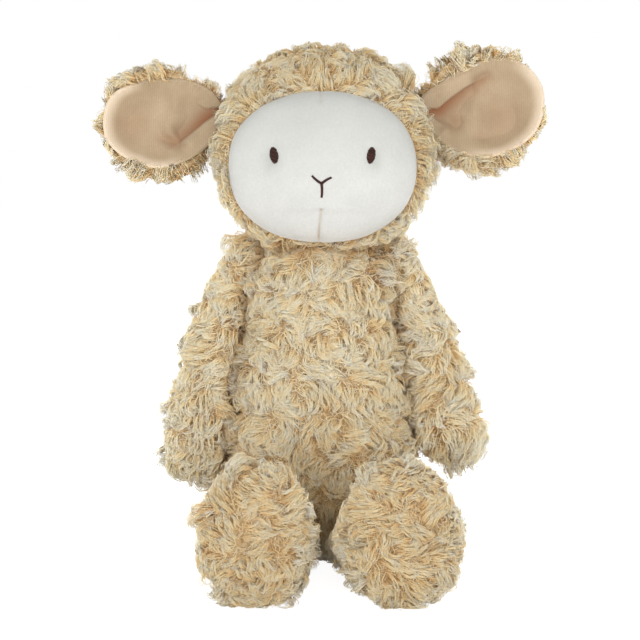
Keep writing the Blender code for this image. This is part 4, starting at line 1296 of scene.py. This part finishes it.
def backing(form, nodes):
    """The skin under the fur, kept as a piece."""
    obj = skins[form].obj
    cells_for_faces(obj.data)
    finished(obj, BACKING, form, nodes)


def filling(node, name, body, material):
    """A smooth form just inside the solid that it stands for."""
    obj = Skin(name, [node], push=-0.0006, voxel=0.0042, rounds=8).obj
    cells_for_faces(obj.data)
    finished(obj, material, body, [node])


backing("body", ["body_cover"])
backing("head", ["head_cover"])
backing("tail", ["tail"])
for side in SIDES:
    backing(side + "_arm", [side + "_arm_cover"])
    backing(side + "_leg", [side + "_leg_cover", side + "_sole"])
    backing(side + "_ear", [side + "_ear_back"])
filling("body_stuffing", "body_stuffing_fibre", "body", FIBRE)
filling("seat_pellet_bag", "seat_bag_of_pellets", "body", BAG)
for form in ("head", "right_arm", "right_leg", "left_arm", "left_leg"):
    filling(form + "_stuffing", form + "_stuffing_fibre", form, FIBRE)


# Face: a smooth velour panel, shaped like a flattened bowl turned forward

PANEL_RINGS = 80
PANEL_AROUND = 360
PANEL_THICKNESS = 0.0014
PANEL_RIM = 0.0016
PANEL_TUCK = 0.0022
AIM_DEPTH = 0.004
FACE_SAG = 0.0045
DIMPLE_DEPTH = 0.0034
DIMPLE_ASIDE = 0.0034
DIMPLE_BELOW = 0.0014
DIMPLE_WIDTH = 0.0066
DIMPLE_HEIGHT = 0.0085
# Place and size of the painted shade beside each dimple
DIMPLE_SHADE_ASIDE = 0.0046
DIMPLE_SHADE_BELOW = 0.0010
DIMPLE_SHADE_WIDTH = 0.0034
DIMPLE_SHADE_HEIGHT = 0.0062
SEAM_DEPTH = 0.0011
SEAM_WIDTH = 0.0009
SEAM_LINE = 0.00042
SEAM_PULL = 0.0006
SEAM_PULL_WIDTH = 0.0045
DART_X = 0.0006
DART_DEPTH = 0.0008
DART_WIDTH = 0.0008
FOLD_DEPTH = 0.0005
FOLD_WIDTH = 0.0022
FOLD_Z = 0.2155
FOLD_ARCH = 0.004
UNEVENNESS = 0.00035


def face_point(out, angle):
    """A place on the face, with out from 0 in the middle to 1 at the seam."""
    turn = out * math.pi / 2.0
    reach, depth = np.sin(turn), np.cos(turn) ** 0.87
    cosine, sine = np.cos(angle), np.sin(angle)
    x = FACE_X + FACE_A * reach * np.sign(cosine) * np.abs(cosine) ** 0.91
    z = FACE_Z - FACE_SAG * depth ** 1.8 + FACE_B * reach * np.sign(sine) * np.abs(sine) ** 0.91
    return np.stack([x, FACE_BACK - FACE_DEPTH * depth, z], -1)


def face_relief(points):
    """How far the panel is drawn in, how much its seams tint it, and the painted shade by its dimples, over
    its top and in its faint fold.
    """
    x, z = points[:, 0], points[:, 2]
    inward = UNEVENNESS * smooth_noise(points, 0.013, 3)
    # Painted shade: darker over the top of the face, where less light falls, and beside each eye on the
    # outer side of its dimple
    face_shade = 0.50 * smooth_step(0.228, 0.270, z)
    for side in SIDES:
        spot, sign = middle(side + "_eye"), side_sign(side)
        dx, dz = x - spot.x, z - spot.z + DIMPLE_BELOW
        inward += DIMPLE_DEPTH * peak((dx - sign * DIMPLE_ASIDE, DIMPLE_WIDTH), (dz, DIMPLE_HEIGHT))
        face_shade += peak((dx - sign * DIMPLE_SHADE_ASIDE, DIMPLE_SHADE_WIDTH), (dz + DIMPLE_SHADE_BELOW, DIMPLE_SHADE_HEIGHT))
    # The seam from the nose down to the chin, the small dart at the top, and a faint fold
    chin = smooth_step(0.2190, 0.2165, z) * smooth_step(face_low.z - 0.002, face_low.z + 0.002, z)
    off = x - (0.0006 - 0.0015 * smooth_step(0.218, 0.198, z))
    inward += (SEAM_DEPTH * peak((off, SEAM_WIDTH)) + SEAM_PULL * peak((off, SEAM_PULL_WIDTH))) * chin
    dart = peak((x - DART_X, DART_WIDTH)) * smooth_step(face_high.z - 0.008, face_high.z - 0.004, z)
    arch = ((x - FACE_X) * 9.0) ** 2 * FOLD_ARCH
    fold = peak((z - FOLD_Z + arch, FOLD_WIDTH)) * smooth_step(0.030, 0.012, np.abs(x - FACE_X))
    inward += DART_DEPTH * dart + FOLD_DEPTH * fold
    # The seam line and the dart take the seam's brown as dark joints; the faint tint along the fold is
    # painted shade
    return inward, 0.95 * peak((off, SEAM_LINE)) * chin + 0.25 * dart + 0.05 * fold, face_shade


def face_panel():
    """The closed sheet of the face."""
    out, turn = polar_grid(np.arange(1, PANEL_RINGS + 1) / PANEL_RINGS, PANEL_AROUND)
    points = face_point(out, turn)
    inward, crease, face_shade = face_relief(points)
    rim = PANEL_RIM * smooth_step(0.965, 1.0, out)
    toward = unit(np.array([FACE_X, FACE_BACK + AIM_DEPTH, FACE_Z]) - points)
    points = points + toward * (inward + rim)[:, None]
    points[:, 1] += rim
    back = points + toward * PANEL_THICKNESS
    back[:, 1] = np.minimum(back[:, 1], FACE_BACK + PANEL_TUCK)
    mesh = closed_sheet("face_velour_panel", points, back, PANEL_AROUND)
    sheet_values(mesh, "crease", crease)
    sheet_values(mesh, "face_shade", face_shade)
    sheet_uv(mesh, 0.25 + 0.24 * out * np.cos(turn), 0.5 + 0.48 * out * np.sin(turn))
    finished(linked("face_velour_panel", mesh), VELOUR, "head", ["face_panel"])
    return hull_of(mesh)


panel_hull = face_panel()


def on_face(x, z):
    """The place on the velour that is seen at this spot from the front, and its normal."""
    near, normal, _, _ = panel_hull.ray_cast(Vector((x, BEFORE_FACE, z)), BACKWARD)
    return near, normal if normal.y <= 0.0 else -normal


# Embroidery

THREAD_SIDES = 6
EYE_WIDTH = 0.0052
EYE_HEIGHT = 0.0097
EYE_TILT = math.radians(9.0)
EYE_STITCHES = 24
EYE_STEPS = 8
EYE_CROWN = 0.00075
EYE_SEEDS = {"left": 7, "right": 8}
EYE_THREAD = 0.00027 * np.array([0.6, 0.9, 1.0, 1.0, 1.0, 1.0, 1.0, 0.9, 0.6])
NOSE_Z = 0.2334
NOSE_ENDS = ((-0.0056, 0.0046), (0.0058, 0.0036), (0.0000, -0.0082))
NOSE_STRANDS = 5
NOSE_STEPS = 12
NOSE_THREAD = 0.00025
NOSE_SPACING = 0.00030
NOSE_CROWN = 0.00045
NOSE_BEND = 0.0003
NOSE_OFF_MIDDLE = 0.0006
STITCH_WAVE = 0.0001


def thread_tubes(name, threads):
    """Closed round threads, each from its points, its radius and its tone, as one mesh."""
    points, faces, shades = [], [], []
    angles = 2.0 * math.pi * np.arange(THREAD_SIDES) / THREAD_SIDES
    for line, radius, tone in threads:
        line = np.array([tuple(point) for point in line])
        ahead = unit(np.gradient(line, axis=0))
        side = unit(np.cross(ahead, np.array([0.0, -1.0, 0.0]) + 1e-4))
        up = np.cross(side, ahead)
        start = len(points)
        end = start + (len(line) - 1) * THREAD_SIDES
        for at, across, above, size in zip(line, side, up, np.broadcast_to(radius, len(line))):
            points += [at + (across * math.cos(angle) + above * math.sin(angle)) * size for angle in angles]
        shades += [tone] * (len(line) * THREAD_SIDES)
        for ring in range(start, end, THREAD_SIDES):
            faces += band(ring, THREAD_SIDES, THREAD_SIDES)
        for k in range(1, THREAD_SIDES - 1):
            faces += [(start, start + k + 1, start + k), (end, end + k, end + k + 1)]
    mesh = solid_mesh(name, np.array(points), faces)
    point_values(mesh, "tone", np.array(shades))
    cells_for_faces(mesh)
    return linked(name, mesh)


def eye(side):
    """Satin stitches side by side over a small raised oval."""
    spot, sign = middle(side + "_eye"), side_sign(side)
    cosine, sine = math.cos(EYE_TILT), math.sin(EYE_TILT)
    random = np.random.default_rng(EYE_SEEDS[side])
    threads = []
    for number in range(EYE_STITCHES):
        share = (number + 0.5) / EYE_STITCHES * 2.0 - 1.0
        half = EYE_WIDTH / 2.0 * math.sqrt(max(1.0 - share * share, 0.02)) * random.uniform(0.94, 1.05)
        line = []
        for step in range(EYE_STEPS + 1):
            run = step / EYE_STEPS * 2.0 - 1.0
            dx, dz = run * half, share * EYE_HEIGHT / 2.0 + STITCH_WAVE * math.sin(run * 3.0 + number)
            across, upward = dx * cosine + sign * dz * sine, dz * cosine - sign * dx * sine
            at, normal = on_face(spot.x + across, spot.z + upward)
            crown = math.sqrt(max(1.0 - run * run, 0.0)) * math.sqrt(max(1.0 - share * share, 0.05))
            line.append(at + normal * (EYE_CROWN * crown + 0.00002))
        threads.append((line, EYE_THREAD, random.uniform(0.0, 0.8)))
    finished(thread_tubes(side + "_eye_stitching", threads), STITCH, "head", [side + "_eye"])


def nose():
    """Three thick stitches that meet in a Y, each of five strands side by side."""
    random = np.random.default_rng(15)
    threads = []
    for end_x, end_z in NOSE_ENDS:
        length = math.hypot(end_x, end_z)
        for strand in range(NOSE_STRANDS):
            shift = (strand - 2.0) * NOSE_SPACING
            lift = NOSE_CROWN - abs(strand - 2.0) * 0.00014
            line = []
            for step in range(NOSE_STEPS + 1):
                run = step / NOSE_STEPS
                aside = (shift * (1.0 - 0.35 * run) + NOSE_BEND * math.sin(run * math.pi)) / length
                x = FACE_X - NOSE_OFF_MIDDLE + end_x * run - end_z * aside
                at, normal = on_face(x, NOSE_Z + end_z * run + end_x * aside)
                line.append(at + normal * (lift * math.sin(0.25 + run * 2.7) + 0.0001))
            threads.append((line, NOSE_THREAD, random.uniform(0.0, 0.7)))
    obj = thread_tubes("nose_and_mouth_stitching", threads)
    finished(obj, STITCH, "head", ["nose_and_mouth"])


for side in SIDES:
    eye(side)
nose()

neck_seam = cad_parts["neck_seam"]
neck_seam.data.materials.clear()
neck_seam.data.materials.append(SEAM_THREAD)


# Stage, light and camera

FLOOR_RADIUS = 4.0
FLOOR_FLAT = 3.7
LIGHT_TARGET = Vector((0.0, 0.0, 0.14))
CAMERA_TARGET = Vector((0.0, -0.03, 0.150))
CAMERA_DISTANCE = 1.4
CAMERA_ELEVATION = math.radians(6.0)
SENSOR_WIDTH = 36.0
PIXELS_PER_METRE = 1666.0
IMAGE = 640.0


def stage_floor():
    """A wide plate with a soft rounded edge, which looks white and even."""
    rings, around = 24, 96
    share, turn = polar_grid(np.arange(1, rings + 1) / rings, around)
    out = FLOOR_RADIUS * share ** 1.6
    drop = -0.02 * np.maximum(out - FLOOR_FLAT, 0.0) ** 2
    faces = [(a, c, b) for a, b, c in disc_faces(len(out), around)]
    points = from_columns(out * np.cos(turn), out * np.sin(turn), drop)
    obj = linked("studio_floor", mesh_from("studio_floor", points, np.array(faces)))
    nodes = material_nodes("studio_paper")
    color = nodes.ramp(nodes.noise(300.0), (0.3, (0.80, 0.80, 0.80)), (0.7, (0.84, 0.84, 0.84)))
    paper = nodes.add("BsdfDiffuse", {0: color}).outputs[0]
    grey = nodes.add("BsdfDiffuse", {0: (0.36, 0.36, 0.36)}).outputs[0]
    glow = nodes.add("Emission", {0: WHITE, 1: 0.92}).outputs[0]
    nodes.by_ray(nodes.add("AddShader", {0: grey, 1: glow}).outputs[0], paper)
    obj.data.materials.append(nodes.owner)


def world_light(strength):
    """Even light on the sheep, with white behind it."""
    nodes = Nodes(bpy.data.worlds.new("studio"), "World")
    ambient = nodes.add("Background", {0: WHITE, 1: strength}).outputs[0]
    nodes.by_ray(nodes.add("Background", {0: WHITE, 1: 1.0}).outputs[0], ambient)
    bpy.context.scene.world = nodes.owner


def aimed(obj, place, target):
    """Puts a lamp or the camera in its place, so that it looks at a target."""
    obj.location = place
    obj.rotation_mode = "QUATERNION"
    obj.rotation_quaternion = (target - place).to_track_quat("-Z", "Y")


def soft_light(name, place, size, power):
    """A wide area light."""
    light = bpy.data.lights.new(name, "AREA")
    light.shape = "RECTANGLE"
    light.size, light.size_y = size
    light.energy = power
    aimed(linked(name, light), Vector(place), LIGHT_TARGET)


def photo_camera():
    data = bpy.data.cameras.new("photo_camera")
    data.sensor_width = SENSOR_WIDTH
    data.lens = SENSOR_WIDTH * PIXELS_PER_METRE * CAMERA_DISTANCE / IMAGE
    back = Vector((0.0, -math.cos(CAMERA_ELEVATION), math.sin(CAMERA_ELEVATION)))
    camera = linked("photo_camera", data)
    aimed(camera, CAMERA_TARGET + back * CAMERA_DISTANCE, CAMERA_TARGET)
    bpy.context.scene.camera = camera


stage_floor()
world_light(0.62)
soft_light("key", (-0.50, -1.60, 0.30), (1.3, 0.56), 12.0)
soft_light("fill", (0.65, -1.50, 0.26), (1.1, 0.48), 8.5)
soft_light("left_rim", (1.20, 0.95, 0.55), (1.0, 1.0), 16.0)
soft_light("right_rim", (-1.20, 0.95, 0.55), (1.0, 1.0), 16.0)
photo_camera()
bpy.context.scene.view_settings.view_transform = "Standard"
